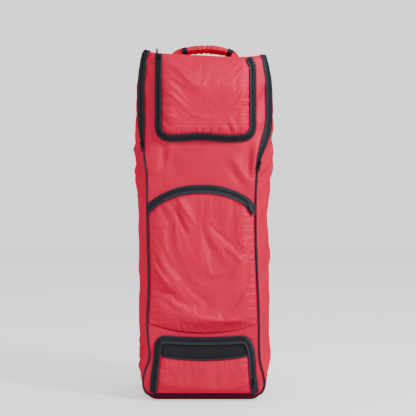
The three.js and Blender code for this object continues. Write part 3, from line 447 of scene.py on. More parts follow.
redCloth = {
    "dark": (0.27, 0.001, 0.018, 1),
    "light": (0.53, 0.002, 0.04, 1),
    "broadScale": 9.0,
    "broadTone": 0.5,
    "fineScale": 700.0,
    "fineTone": 0.5,
    "roughness": 0.46,
    "roughSpread": 0.12,
    "glint": (1.0, 0.14, 0.25, 1),
    "glintRoughness": 0.36,
    "gloss": 0.045,
    "pitch": 0.0011,
    "weaveDepth": 0.00006,
    "crumpleScale": 70.0,
    "crumpleDepth": 0.0016,
    "foldScale": 9.0,
    "foldDepth": 0.0012,
    "foldTurn": (0.3, 0.75, 0.2),
    "foldSquash": (1.0, 1.0, 2.6),
}
# Dark red painted shade: far darker than the red cloth, for the shade along the bag's foot and in the seam
# under the middle pocket
paintedShadeCloth = {
    **redCloth,
    "dark": (0.05, 0.002, 0.006, 1),
    "light": (0.085, 0.003, 0.011, 1),
    "gloss": 0.02,
}
gripCloth = {
    **redCloth,
    "dark": (0.32, 0.001, 0.02, 1),
    "light": (0.54, 0.002, 0.038, 1),
    "crumpleScale": 120.0,
}
webCloth = {
    **redCloth,
    "dark": (0.4, 0.002, 0.012, 1),
    "light": (0.7, 0.004, 0.026, 1),
    "pitch": 0.0022,
    "weaveDepth": 0.0003,
    "crumpleDepth": 0.0002,
    "foldDepth": 0.0,
}
tapeCloth = {
    **redCloth,
    "dark": (0.006, 0.006, 0.009, 1),
    "light": (0.013, 0.013, 0.018, 1),
    "roughness": 0.62,
    "glint": (0.8, 0.87, 1.0, 1),
    "gloss": 0.02,
    "pitch": 0.0009,
    "weaveDepth": 0.00012,
    "crumpleDepth": 0.0003,
    "foldDepth": 0.0,
}
bindingCloth = {
    **tapeCloth,
    "dark": (0.006, 0.007, 0.01, 1),
    "light": (0.013, 0.015, 0.021, 1),
    "gloss": 0.028,
}
pipingCloth = {
    **tapeCloth,
    "dark": (0.003, 0.004, 0.006, 1),
    "light": (0.008, 0.009, 0.013, 1),
}

redMaterial = clothMaterial("redNylon", redCloth)
# Painted-shade material for the base and the dark seam line
paintedShadeMaterial = clothMaterial("paintedShadeRed", paintedShadeCloth)
gripMaterial = clothMaterial("redPadding", gripCloth)
tapeMaterial = clothMaterial("charcoalTape", tapeCloth)
bindingMaterial = clothMaterial("slateBinding", bindingCloth)
blackMaterial = clothMaterial("blackPiping", pipingCloth)
webMaterial = clothMaterial("redWebbing", webCloth)

ventNet = {
    "pitch": 0.0024,
    "hole": 0.35,
    "cord": (0.012, 0.012, 0.016, 1),
    "gap": (0.002, 0.002, 0.003, 1),
    "depth": 0.0006,
}


def netMaterial(name, values):
    material, shader, signal = newMaterial(name)
    chart = signal.node("TexCoord", output=2)
    across = chart.node("SeparateXYZ", {}, {0: chart})
    down = across.part(1)
    holes = (across + down * 0.5).wave(values["pitch"]) * down.wave(values["pitch"])
    holes.above(values["hole"]).blend(values["cord"], values["gap"]).into(shader.inputs["Base Color"])
    shader.inputs["Roughness"].default_value = 0.55
    shader.inputs["Specular IOR Level"].default_value = 0.12
    bumpInto(shader, holes * -1.0, values["depth"])
    return material


netBlack = netMaterial("blackNet", ventNet)

enamel = {
    "colour": (0.009, 0.01, 0.012, 1),
    "worn": (0.09, 0.093, 0.1, 1),
    "wear": 0.66,
    "grain": 420.0,
    "roughness": 0.24,
    "roughSpread": 0.3,
}


def enamelMaterial(name, values):
    material, shader, signal = newMaterial(name)
    place = signal.node("TexCoord", output=3)
    marks = noiseOf(place, values["grain"], 5.0, 0.65)
    marks.above(values["wear"]).blend(values["colour"], values["worn"]).into(shader.inputs["Base Color"])
    (values["roughness"] + marks * values["roughSpread"]).into(shader.inputs["Roughness"])
    shader.inputs["Metallic"].default_value = 0.7
    return material


metalMaterial = enamelMaterial("blackEnamel", enamel)
print("materials made")


def meshPiece(name, vertices, faces, material, chart=None):
    mesh = bpy.data.meshes.new(name)
    mesh.from_pydata(np.asarray(vertices).reshape(-1, 3).tolist(), [], faces)
    mesh.polygons.foreach_set("use_smooth", np.ones(len(mesh.polygons), bool))
    if chart is not None:
        layer = mesh.uv_layers.new(name="chart")
        loops = np.empty(len(mesh.loops), int)
        mesh.loops.foreach_get("vertex_index", loops)
        layer.data.foreach_set("uv", np.asarray(chart).reshape(-1, 2)[loops].ravel())
    mesh.materials.append(material)
    piece = bpy.data.objects.new(name, mesh)
    bpy.context.collection.objects.link(piece)
    return piece


def gridFaces(rows, columns, wrap=False):
    last = columns if wrap else columns - 1
    j, i = np.meshgrid(np.arange(rows - 1), np.arange(last), indexing="ij")
    right = (i + 1) % columns
    corners = [j * columns + i, j * columns + right, (j + 1) * columns + right, (j + 1) * columns + i]
    return np.stack(corners, axis=-1).reshape(-1, 4).tolist()


# Lengths over a grid of points, from its middle line and its first row
def chartOf(points):
    across = np.linalg.norm(np.diff(points, axis=1), axis=2)
    along = np.linalg.norm(np.diff(points, axis=0), axis=2)
    u = np.concatenate([np.zeros((len(points), 1)), np.cumsum(across, axis=1)], axis=1)
    v = np.concatenate([np.zeros((1, points.shape[1])), np.cumsum(along, axis=0)], axis=0)
    u = u - u.mean(axis=1, keepdims=True)
    return np.stack([u, v], axis=-1)


def gridPiece(name, points, material):
    return meshPiece(name, points, gridFaces(*points.shape[:2]), material, chartOf(points))


# Rings of points in a row, closed by a cap at each end
def sleevePiece(name, rings, material, chart):
    rows, sides = rings.shape[:2]
    faces = gridFaces(rows, sides, wrap=True)
    faces.append(list(range(sides))[::-1])
    faces.append([(rows - 1) * sides + k for k in range(sides)])
    return meshPiece(name, rings, faces, material, chart)


def applyAll(piece):
    bpy.ops.object.select_all(action="DESELECT")
    piece.select_set(True)
    bpy.context.view_layer.objects.active = piece
    for modifier in list(piece.modifiers):
        bpy.ops.object.modifier_apply(modifier=modifier.name)
    piece.select_set(False)


def smoothed(piece):
    modifier = piece.modifiers.new("smooth", "SUBSURF")
    modifier.levels = 1
    modifier.render_levels = 1
    applyAll(piece)


def thickened(piece, thickness):
    modifier = piece.modifiers.new("wall", "SOLIDIFY")
    modifier.thickness = thickness
    modifier.offset = -1
    applyAll(piece)


clothRun = {"frames": 20, "quality": 5, "mass": 0.25, "tension": 18, "bending": 1.2, "gravity": 0.06}


# Cloth held by the weights in held, that grows by a share and folds
def letSettle(piece, held, grow):
    group = piece.vertex_groups.new(name="held")
    levels = np.round(np.clip(held.ravel(), 0, 1), 2)
    for level in np.unique(levels):
        if level > 0:
            group.add(np.flatnonzero(levels == level).tolist(), float(level), "REPLACE")
    cloth = piece.modifiers.new("cloth", "CLOTH")
    settings = cloth.settings
    settings.quality = clothRun["quality"]
    settings.mass = clothRun["mass"]
    settings.tension_stiffness = clothRun["tension"]
    settings.compression_stiffness = clothRun["tension"]
    settings.shear_stiffness = clothRun["tension"] / 2
    settings.bending_stiffness = clothRun["bending"]
    settings.vertex_group_mass = "held"
    settings.pin_stiffness = 1.0
    settings.shrink_min = -grow
    settings.effector_weights.gravity = clothRun["gravity"]
    cloth.collision_settings.use_collision = False
    cloth.collision_settings.use_self_collision = False
    for step in range(1, clothRun["frames"] + 1):
        bpy.context.scene.frame_set(step)
    applyAll(piece)
    bpy.context.scene.frame_set(1)
    piece.vertex_groups.clear()
    print(piece.name, "settled")


# One mesh of copies, one at each frame of origin, across, along and out
def repeated(name, unitPiece, frames, material):
    mesh = unitPiece.data
    corners = np.empty(len(mesh.vertices) * 3)
    mesh.vertices.foreach_get("co", corners)
    corners = corners.reshape(-1, 3)
    origins, acrosses, alongs, outs = frames
    placed = (
        origins[:, None, :]
        + corners[None, :, 0:1] * acrosses[:, None, :]
        + corners[None, :, 1:2] * alongs[:, None, :]
        + corners[None, :, 2:3] * outs[:, None, :]
    )
    faces = []
    unitFaces = [list(polygon.vertices) for polygon in mesh.polygons]
    for k in range(len(origins)):
        faces.extend([[corner + k * len(corners) for corner in face] for face in unitFaces])
    return meshPiece(name, placed, faces, material)


# The pockets' shape on the front
topPocket = {
    "left": -0.114,
    "right": 0.119,
    "bottom": 0.596,
    "corner": 0.033,
    "depth": 0.021,
    "round": 2.6,
    "zipWidth": 0.016,
    "inset": 0.8,
    "topGap": 0.002,
    "swing": 0.0028,
    "lean": 0.0095,
    "leanReach": 0.03,
    "columns": 96,
    "rows": 84,
}
middlePocket = {
    "crown": 0.496,
    "drop": 0.046,
    "hook": 0.011,
    "seam": 0.156,
    "seamLift": 0.025,
    "depth": 0.015,
    "roundSide": 0.048,
    "roundTop": 0.055,
    "roundFoot": 0.06,
    "zipWidth": 0.02,
    "zipInset": 0.0025,
    "inset": 0.72,
    "edge": 0.0052,
    "columns": 96,
    "rows": 124,
}
shoePocket = {
    "half": 0.1115,
    "flare": 0.0155,
    "top": 0.151,
    "sag": 0.005,
    "bottom": 0.018,
    "corner": 0.02,
    "depth": 0.017,
    "roundFoot": 0.04,
    "zipWidth": 0.017,
    "inset": 0.88,
    "meshHeight": 0.038,
    "meshCurve": 0.012,
    "columns": 90,
    "rows": 34,
    "ventRows": 18,
}
layers = {
    "wall": 0.0016,
    "cloth": 0.0012,
    "clearance": 0.0004,
    "slopeSpare": 0.0012,
    "zipClearance": 0.0006,
}


def roundedInside(side, up, corner):
    bent = corner - np.hypot(corner - side, corner - up)
    return np.where((side < corner) & (up < corner), bent, np.minimum(side, up))


def topRightAt(height):
    bent = ramp(height, shell["height"] - topPocket["leanReach"], shell["height"])
    return topPocket["right"] - topPocket["lean"] * bent


def topPocketInside(x, height):
    side = np.minimum(x - topPocket["left"], topRightAt(height) - x)
    return roundedInside(side, height - topPocket["bottom"], topPocket["corner"])


def pocketFoldAt(x, height):
    return foldSum(pocketFolds, shell["width"] / 2, x, height)


def topPocketRise(x, height):
    taper = 1 - 0.8 * ramp(height, 0.9 * shell["height"], shell["height"])
    inside = topPocketInside(x, height)
    width = topPocket["zipWidth"]
    fold = pocketFoldAt(x, height) * ramp(inside, 0.5 * width, 2.5 * width)
    return taper * (topPocket["depth"] * easeOut(inside / (topPocket["round"] * width)) + fold)


def pipingEdges(height):
    cut = sectionAt(height)
    return cut["shift"] - cut["front"], cut["shift"] + cut["front"]


def acrossShare(x, height):
    left, right = pipingEdges(height)
    return np.clip((2 * x - left - right) / (right - left), -1, 1)


def archHeight(x):
    share = acrossShare(x, middlePocket["crown"])
    return middlePocket["crown"] - middlePocket["drop"] * np.abs(share) ** 2.4


def smileHeight(x):
    share = acrossShare(x, middlePocket["seam"])
    return middlePocket["seam"] + middlePocket["seamLift"] * np.abs(share) ** 2.2


def middlePocketRise(x, height):
    left, right = pipingEdges(height)
    side = np.minimum(x - left, right - x)
    down = archHeight(x) - height
    up = height - smileHeight(x)
    width = middlePocket["zipWidth"]
    body = easeOut(side / middlePocket["roundSide"]) * easeOut(down / middlePocket["roundTop"])
    body = body * easeOut(up / middlePocket["roundFoot"])
    fold = pocketFoldAt(x, height) * ramp(side, 0.004, 0.034)
    fold = fold * ramp(down, width, 2.5 * width) * ramp(up, 0.002, 0.03)
    return middlePocket["depth"] * body + fold


def shoeEdges(height):
    half = shoePocket["half"] + shoePocket["flare"] * (1 - height / shoePocket["top"])
    middle = sectionAt(height)["shift"]
    return middle - half, middle + half


def shoePocketInside(x, height):
    left, right = shoeEdges(height)
    side = np.minimum(x - left, right - x)
    middle = (left + right) / 2
    sag = shoePocket["sag"] * (1 - ((x - middle) / shoePocket["half"]) ** 2)
    return roundedInside(side, shoePocket["top"] - sag - height, shoePocket["corner"])


wallFoot = sectionRows[0, 0] * shell["height"]


def shoePocketRise(x, height):
    inside = shoePocketInside(x, height)
    fade = 0.25 + 0.75 * easeOut((height - wallFoot) / shoePocket["roundFoot"])
    return shoePocket["depth"] * easeOut(inside / (2 * shoePocket["zipWidth"])) * fade


def overFront(x, height, rise, clearance):
    return settled(x, frontLevel(x, height) - rise - clearance, height)


def topZipLine():
    inset = topPocket["zipWidth"] / 2
    left = topPocket["left"] + inset
    right = topPocket["right"] - inset
    low = topPocket["bottom"] + inset
    bend = topPocket["corner"] - inset
    high = shell["height"] - 0.004
    points = [[left, high + (low + bend - high) * share] for share in (0, 0.2, 0.4, 0.6, 0.8)]
    for angle in np.radians([0, 30, 60, 90]):
        points.append([left + bend * (1 - np.cos(angle)), low + bend * (1 - np.sin(angle))])
    for share in (0.2, 0.35, 0.5, 0.65, 0.8):
        swing = topPocket["swing"] * np.cos(2 * np.pi * (share - 0.42))
        points.append([left + bend + (right - left - 2 * bend) * share, low + swing])
    for angle in np.radians([90, 60, 30, 0]):
        points.append([right - bend * (1 - np.cos(angle)), low + bend * (1 - np.sin(angle))])
    for share in (0.8, 0.6, 0.4, 0.2, 0.14, 0.09, 0.04, 0):
        place = high + (low + bend - high) * share
        points.append([float(topRightAt(place)) - inset, place])
    return smoothLine(points[::-1])


def middleZipLine():
    left, right = pipingEdges(middlePocket["crown"] - middlePocket["drop"])
    inset = middlePocket["zipInset"]
    points = [[left - 0.008, float(archHeight(left)) - middlePocket["zipWidth"] / 2 - 0.009]]
    for share in (0, 0.03, 0.08, 0.14, 0.25, 0.38, 0.5, 0.62, 0.75, 0.86, 0.93, 0.98, 1):
        x = left + inset + (right - left - 2 * inset) * share
        hook = middlePocket["hook"] * (max(share - 0.9, 0) / 0.1) ** 2
        points.append([x, float(archHeight(x)) - middlePocket["zipWidth"] / 2 - hook])
    return smoothLine(points)


def shoeZipLine():
    inset = shoePocket["zipWidth"] / 2
    bend = shoePocket["corner"] - inset / 2
    low = shoePocket["bottom"]
    high = shoePocket["top"] - inset

    def sideAt(hand, height):
        left, right = shoeEdges(height)
        return float(left + inset if hand < 0 else right - inset)

    middle = (sideAt(-1, high) + sideAt(1, high)) / 2

    def sagAt(x):
        return shoePocket["sag"] * (1 - ((x - middle) / shoePocket["half"]) ** 2)

    points = []
    for share in (0, 0.3, 0.6, 0.85):
        height = low + (high - bend - low) * share
        points.append([sideAt(-1, height), height])
    for angle in np.radians([15, 45, 75]):
        x = sideAt(-1, high) + bend * (1 - np.cos(angle))
        points.append([x, high - bend * (1 - np.sin(angle)) - sagAt(x)])
    for share in (0.2, 0.35, 0.5, 0.65, 0.8):
        x = sideAt(-1, high) + (sideAt(1, high) - sideAt(-1, high)) * share
        points.append([x, high - sagAt(x)])
    for angle in np.radians([75, 45, 15]):
        x = sideAt(1, high) - bend * (1 - np.cos(angle))
        points.append([x, high - bend * (1 - np.sin(angle)) - sagAt(x)])
    for share in (0.85, 0.6, 0.3, 0):
        height = low + (high - bend - low) * share
        points.append([sideAt(1, height), height])
    return smoothLine(points)


# Visual folds, in the same columns as the folds above
topCreases = [
    [-0.31, 0.954, -19, 0.05, 0.008, 0.0045],
    [-0.28, 0.935, -42, 0.03, 0.007, 0.003],
    [-0.4, 0.915, -30, 0.03, 0.007, -0.0035],
    [-0.42, 0.875, -34, 0.026, 0.006, 0.0035],
    [-0.39, 0.845, -6, 0.034, 0.009, -0.0045],
    [-0.5, 0.822, -16, 0.024, 0.006, 0.004],
    [-0.52, 0.8, -34, 0.02, 0.006, -0.0035],
    [-0.46, 0.785, 24, 0.02, 0.006, 0.003],
    [-0.09, 0.776, 84, 0.016, 0.005, 0.004],
    [0.4, 0.789, -65, 0.026, 0.008, 0.004],
    [0.35, 0.786, -60, 0.022, 0.007, -0.003],
    [0.51, 0.838, 28, 0.03, 0.008, -0.0035],
    [0.5, 0.87, 60, 0.03, 0.008, 0.003],
]
frontCreases = [
    [0.62, 0.69, 88, 0.055, 0.011, -0.009],
    [0.7, 0.7, 84, 0.05, 0.008, 0.007],
    [0.5, 0.665, -58, 0.04, 0.009, 0.0075],
    [0.43, 0.65, -56, 0.04, 0.009, -0.006],
    [0.6, 0.645, -66, 0.034, 0.008, 0.006],
    [-0.58, 0.715, 88, 0.04, 0.009, -0.007],
    [-0.5, 0.712, 80, 0.035, 0.009, 0.005],
    [-0.68, 0.665, 12, 0.03, 0.007, 0.006],
    [-0.7, 0.645, 24, 0.03, 0.007, -0.005],
    [-0.3, 0.728, -52, 0.02, 0.006, -0.004],
    [-0.15, 0.69, 24, 0.08, 0.016, 0.0045],
]
stripCreases = [
    [0.8, 0.865, 74, 0.042, 0.012, -0.008],
    [0.86, 0.93, 66, 0.03, 0.008, 0.004],
    [0.77, 0.8, 58, 0.03, 0.008, 0.005],
    [-0.78, 0.96, -50, 0.02, 0.006, 0.004],
    [-0.8, 0.93, -44, 0.025, 0.006, -0.004],
    [-0.78, 0.89, -40, 0.025, 0.006, 0.004],
    [-0.78, 0.84, -60, 0.03, 0.007, -0.004],
]
middleCreases = [
    [-0.24, 0.545, -56, 0.05, 0.009, 0.008],
    [-0.36, 0.53, -62, 0.04, 0.009, -0.0065],
    [-0.08, 0.5, -52, 0.07, 0.011, -0.0065],
    [0.06, 0.475, -48, 0.08, 0.013, 0.0075],
    [0.28, 0.47, -42, 0.06, 0.011, -0.006],
    [0.4, 0.43, -44, 0.06, 0.011, 0.006],
    [0.56, 0.45, -40, 0.03, 0.008, 0.0045],
    [-0.6, 0.36, -50, 0.032, 0.009, 0.008],
    [-0.46, 0.335, 38, 0.032, 0.009, 0.0075],
    [-0.56, 0.318, -8, 0.03, 0.009, -0.006],
    [-0.66, 0.4, -62, 0.03, 0.008, -0.004],
    [0.3, 0.235, -4, 0.06, 0.007, 0.0045],
    [0.24, 0.25, -64, 0.02, 0.005, -0.003],
    [0.56, 0.3, 58, 0.05, 0.009, 0.004],
    [-0.5, 0.47, 80, 0.06, 0.012, -0.005],
]
shoeCreases = [
    [-0.55, 0.055, 30, 0.03, 0.006, 0.0045],
    [-0.45, 0.04, 12, 0.03, 0.005, -0.0035],
    [0.56, 0.05, 32, 0.03, 0.006, 0.0045],
    [0.45, 0.035, 24, 0.03, 0.005, -0.003],
    [0.5, 0.085, 34, 0.03, 0.006, 0.0035],
    [0.0, 0.095, 4, 0.05, 0.008, 0.002],
]
sideCreases = {
    "right": [
        [-0.4, 0.735, 24, 0.08, 0.011, -0.0081],
        [-0.45, 0.7, 28, 0.08, 0.01, 0.0108],
        [-0.45, 0.675, 30, 0.08, 0.01, -0.0108],
        [-0.5, 0.648, 34, 0.08, 0.011, 0.0121],
        [-0.5, 0.618, 38, 0.08, 0.011, -0.0108],
        [-0.5, 0.585, 40, 0.07, 0.011, 0.0095],
        [-0.4, 0.54, 46, 0.07, 0.012, -0.0081],
        [-0.6, 0.34, 24, 0.05, 0.01, 0.0068],
        [-0.5, 0.26, 14, 0.07, 0.011, 0.0081],
        [-0.5, 0.235, 18, 0.06, 0.01, -0.0081],
        [-0.4, 0.12, 40, 0.06, 0.011, 0.0081],
        [0.3, 0.62, 50, 0.08, 0.013, 0.0081],
        [0.2, 0.42, -40, 0.1, 0.014, 0.0081],
        [0.3, 0.24, -60, 0.08, 0.013, -0.0081],
        [0.4, 0.84, -50, 0.08, 0.013, 0.0068],
    ],
    "left": [
        [-0.4, 0.725, -20, 0.08, 0.01, 0.0108],
        [-0.4, 0.7, -24, 0.07, 0.01, -0.0108],
        [-0.45, 0.672, -26, 0.07, 0.01, 0.0095],
        [-0.5, 0.645, -34, 0.07, 0.011, -0.0081],
        [-0.5, 0.61, -40, 0.06, 0.01, 0.0081],
        [-0.5, 0.49, -30, 0.06, 0.01, -0.0068],
        [-0.5, 0.36, 30, 0.06, 0.01, 0.0068],
        [-0.4, 0.15, -34, 0.07, 0.01, 0.0095],
        [-0.4, 0.125, -40, 0.06, 0.01, -0.0081],
        [-0.4, 0.09, -30, 0.05, 0.01, 0.0068],
        [0.3, 0.6, -50, 0.08, 0.013, 0.0081],
        [0.2, 0.4, 44, 0.1, 0.014, -0.0081],
        [0.3, 0.22, 60, 0.08, 0.013, 0.0081],
        [0.4, 0.84, 46, 0.08, 0.013, 0.0068],
    ],
    "back": [
        [-0.4, 0.86, -36, 0.1, 0.014, 0.0081],
        [0.4, 0.8, 42, 0.1, 0.014, -0.0081],
        [0.1, 0.62, -24, 0.12, 0.015, 0.0081],
        [-0.4, 0.4, 50, 0.12, 0.015, 0.0081],
        [0.45, 0.42, -56, 0.1, 0.014, 0.0081],
        [-0.2, 0.18, -30, 0.1, 0.014, -0.0081],
        [0.4, 0.16, 36, 0.09, 0.013, 0.0081],
    ],
}

# Small seeded creases: seed, count, box across and up, turns in degrees, length, width, depth
fineCreases = {
    "right": (5, 44, (-0.15, 0.12, 0.05, 0.76), (10, 75), (0.02, 0.07), (0.004, 0.011), (0.0008, 0.0028)),
    "left": (9, 44, (-0.15, 0.12, 0.05, 0.76), (-75, -5), (0.02, 0.07), (0.004, 0.011), (0.0008, 0.0028)),
    "back": (14, 36, (-0.13, 0.13, 0.04, 0.76), (-80, 80), (0.02, 0.08), (0.005, 0.012), (0.0008, 0.0026)),
    "top": (33, 8, (-0.1, 0.1, 0.62, 0.79), (-60, 60), (0.012, 0.035), (0.003, 0.006), (0.0005, 0.0014)),
    "middle": (44, 10, (-0.11, 0.09, 0.18, 0.46), (-75, 20), (0.02, 0.06), (0.004, 0.009), (0.0006, 0.002)),
    "shoe": (53, 9, (-0.1, 0.1, 0.03, 0.09), (-30, 40), (0.02, 0.04), (0.003, 0.006), (0.0005, 0.0015)),
}


def sideRelief(turns, heights, walls):
    y = walls[..., 1]
    right = turns > 0
    share = np.clip(np.abs(turns) - 1, 0, 1)
    rightFine = seededCreases(y, heights, *fineCreases["right"])
    leftFine = seededCreases(y, heights, *fineCreases["left"])
    fine = np.where(right, rightFine, leftFine)
    fine = fine * np.clip(share / 0.12, 0, 1) * np.clip((1 - share) / 0.2, 0, 1)
    rightDeep = foldSum(sideCreases["right"], shell["depth"] / 2, y, heights)
    leftDeep = foldSum(sideCreases["left"], shell["depth"] / 2, y, heights)
    fade = ramp(share, 0.0, 0.12) * (1 - ramp(share, 0.8, 1.0)) * (1 - ramp(heights, 0.74, 0.78))
    deep = np.where(right, rightDeep, leftDeep) * fade
    belly = np.clip(share / 0.1, 0, 1) * np.clip((0.45 - share) / 0.3, 0, 1)
    belly = belly * ramp(heights, 0.05, 0.12) * (1 - ramp(heights, 0.68, 0.76))
    slant = heights - 0.55 * y * np.where(right, 1.0, 0.8)
    slow = waves(heights, seed=72, longest=0.3, shortest=0.12, count=3)
    ripples = waves(slant, seed=71, longest=0.06, shortest=0.014, count=9) * (0.5 + 0.5 * slow**2)
    seam = np.abs(np.abs(turns) - 1) * 0.3
    sewn = gathers(heights, seam - 0.006, seed=22, depth=0.0014, reach=0.02)
    return fine + deep + 0.002 * ripples * belly + sewn


def backRelief(turns, heights, walls):
    x = walls[..., 0]
    fine = seededCreases(x, heights, *fineCreases["back"]) * np.clip(np.abs(turns) - 2, 0, 1)
    deep = foldSum(sideCreases["back"], shell["width"] / 2, x, heights)
    return fine + deep * ramp(np.abs(turns), 2.0, 2.15)


# Folds on the bare cloth between the pockets and on the strips beside the top pocket
def frontRelief(turns, heights, walls):
    x = walls[..., 0]
    bare = ramp(heights, middlePocket["crown"] - 0.02, middlePocket["crown"] + 0.01)
    bare = bare * (1 - ramp(heights, topPocket["bottom"] - 0.006, topPocket["bottom"] + 0.004))
    beyond = np.maximum(topPocket["left"] - x, x - topPocket["right"])
    strip = ramp(beyond, -0.001, 0.004) * ramp(heights, 0.6, 0.64)
    folds = foldSum(frontCreases, shell["width"] / 2, x, heights) * bare
    folds = folds + foldSum(stripCreases, shell["width"] / 2, x, heights) * strip
    return folds * (1 - np.abs(turns) ** 12)


# Walls and top of the shell, in rings from the foot up
frontCount = shell["columnsFront"]
sideCount = shell["columnsSide"]
frontEven = np.linspace(-1, 1, frontCount + 1)
frontPlaces = 0.4 * frontEven + 0.6 * np.sin(np.pi / 2 * frontEven)
sideTurns = np.linspace(1, 2, sideCount + 1)[:-1]
backPlaces = frontPlaces[::-1][:-1]
backTurns = np.where(backPlaces < 0, -3 - backPlaces, 3 - backPlaces)
leftTurns = -np.linspace(2, 1, sideCount + 1)[:-1]
ringTurns = np.concatenate([frontPlaces[:-1], sideTurns, backTurns, leftTurns])
rowShares = np.linspace(0, 1, shell["rows"] + 1)
rowHeights = wallFoot + (shell["height"] - wallFoot) * (rowShares - 0.08 * np.sin(2 * np.pi * rowShares))


def wallGrid(turns, heights):
    walls = wallPoint(turns, heights)
    across = np.roll(walls, -1, axis=1) - np.roll(walls, 1, axis=1)
    normals = unit(np.cross(across, np.gradient(walls, axis=0)))
    way = np.abs(turns)
    onWalls = np.where(way < 2, sideRelief(turns, heights, walls), backRelief(turns, heights, walls))
    relief = np.where(way <= 1, frontRelief(turns, heights, walls), onWalls)
    backSeam = np.abs(way - 2) * 0.16
    relief = relief - shell["seamGroove"] * np.exp(-((backSeam / shell["seamWidth"]) ** 2))
    relief = relief + gathers(heights, backSeam, seed=21, depth=0.0012, reach=0.016)
    return walls + normals * relief[..., None]


turns, heights = np.meshgrid(ringTurns, rowHeights)
walls = wallGrid(turns, heights)
topAcross = frontPlaces[:, None]
topBack = np.linspace(0, 1, sideCount + 1)[None, :]
topGrid = topPoint(topAcross, topBack)
rowCount, ringCount = turns.shape
lastRow = (rowCount - 1) * ringCount


# Numbers of the top's corners: its rim is the walls' last ring
def topNumbers():
    numbers = np.empty((frontCount + 1, sideCount + 1), int)
    middle = np.arange((frontCount - 1) * (sideCount - 1)).reshape(frontCount - 1, sideCount - 1)
    numbers[1:-1, 1:-1] = rowCount * ringCount + middle
    numbers[:, 0] = lastRow + np.arange(frontCount + 1)
    numbers[frontCount, :] = lastRow + frontCount + np.arange(sideCount + 1)
    numbers[:, sideCount] = lastRow + frontCount + sideCount + (frontCount - np.arange(frontCount + 1))
    leftRim = 2 * frontCount + sideCount + (sideCount - np.arange(sideCount + 1))
    numbers[0, :] = lastRow + leftRim % ringCount
    return numbers


topIndex = topNumbers()
topCorners = [topIndex[:-1, :-1], topIndex[1:, :-1], topIndex[1:, 1:], topIndex[:-1, 1:]]
topFaces = np.stack(topCorners, axis=-1).reshape(-1, 4).tolist()
shellVertices = np.vstack([walls.reshape(-1, 3), topGrid[1:-1, 1:-1].reshape(-1, 3)])
shellFaces = gridFaces(rowCount, ringCount, wrap=True) + topFaces
wallChart = np.stack([turns * 0.16, heights], axis=-1)
shellChart = np.vstack([wallChart.reshape(-1, 2), topGrid[1:-1, 1:-1, :2].reshape(-1, 2)])
bagShell = meshPiece("bagShell", shellVertices, shellFaces, redMaterial, shellChart)
smoothed(bagShell)
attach(bagShell, "bag")
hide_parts("front_panel", "side_panel_right", "side_panel_left", "back_panel", "top_panel")
print("shell made")

# Base, flat on the floor and turned up at its rim, in a dark red that paints the shade under the bag's foot
baseGrid = outlinePoint(wallFoot, topAcross, topBack)
rim = np.maximum(np.abs(topAcross), np.abs(2 * topBack - 1))
baseGrid[..., 2] = wallFoot * np.clip((rim - 0.8) / 0.2, 0, 1) ** 2
basePiece = gridPiece("baseFloor", baseGrid, paintedShadeMaterial)
thickened(basePiece, -0.0015)
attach(basePiece, "bag")
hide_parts("base_panel")


def edgeHeld(rows, columns, floor, width=3):
    j, i = np.meshgrid(np.arange(rows), np.arange(columns), indexing="ij")
    edge = np.minimum(np.minimum(i, columns - 1 - i), np.minimum(j, rows - 1 - j))
    return np.clip(1 - edge / width, floor, 1)


# A sewn cloth front: it grows by a share in the simulation, held at least by floor everywhere
def clothOver(name, points, grow, floor, material, node):
    piece = gridPiece(name, points, material)
    if grow > 0:
        letSettle(piece, edgeHeld(*points.shape[:2], floor), grow)
    smoothed(piece)
    thickened(piece, layers["cloth"])
    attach(piece, "bag")
    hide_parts(node)


def sewnOver(x, height, rise):
    return overFront(x, height, rise, layers["clearance"] + layers["wall"])


# Top pocket
def topFrontPoints():
    inset = topPocket["inset"] * topPocket["zipWidth"]
    low = topPocket["bottom"] + inset
    bend = max(topPocket["corner"] - inset, 0.006)
    shareUp = np.linspace(0, 1, topPocket["rows"] + 1)[:, None] ** 1.15
    shareAcross = np.linspace(0, 1, topPocket["columns"] + 1)[None, :]
    height = low + (shell["height"] - topPocket["topGap"] - low) * shareUp + 0 * shareAcross
    dip = np.maximum(bend - (height - low), 0)
    tuck = bend - np.sqrt(np.maximum(bend * bend - dip * dip, 0))
    x = topPocket["left"] + inset + tuck
    x = x + (topRightAt(height) - inset - tuck - x) * shareAcross
    inside = topPocketInside(x, height) - inset
    alongSeam = np.where(height - low < 0.02, x, height)
    rise = topPocketRise(x, height) + gathers(alongSeam, inside, seed=31, depth=0.0018, reach=0.02)
    rise = rise + foldSum(topCreases, shell["width"] / 2, x, height) * ramp(inside, 0.0, 0.012)
    rise = rise + seededCreases(x, height, *fineCreases["top"]) * ramp(inside, 0.004, 0.02)
    return sewnOver(x, height, rise)


# Middle pocket
def middleFrontPoints():
    edge = middlePocket["edge"]
    shareUp = np.linspace(0, 1, middlePocket["rows"] + 1)[:, None]
    shareAcross = np.linspace(0, 1, middlePocket["columns"] + 1)[None, :]
    left, right = pipingEdges((middlePocket["seam"] + middlePocket["crown"]) / 2)
    guess = left + edge + (right - left - 2 * edge) * shareAcross
    top = archHeight(guess) - middlePocket["inset"] * middlePocket["zipWidth"]
    height = smileHeight(guess) + (top - smileHeight(guess)) * shareUp
    left, right = pipingEdges(height)
    x = left + edge + (right - left - 2 * edge) * shareAcross
    side = np.minimum(x - left, right - x) - edge
    rise = middlePocketRise(x, height)
    rise = rise + gathers(x, top - height, seed=41, depth=0.0012, reach=0.014, longest=0.034, shortest=0.014)
    creases = foldSum(middleCreases, shell["width"] / 2, x, height)
    rise = rise + creases * ramp(side, 0.0, 0.02) * ramp(top - height, 0.0, 0.014)
    rise = rise + gathers(x, height - smileHeight(x), seed=42, depth=0.0014, reach=0.02)
    rise = rise + gathers(height, side, seed=43, depth=0.0014, reach=0.018)
    fine = seededCreases(x, height, *fineCreases["middle"])
    rise = rise + fine * ramp(side, 0.0, 0.02) * ramp(top - height, 0.0, 0.02)
    return sewnOver(x, height, rise)
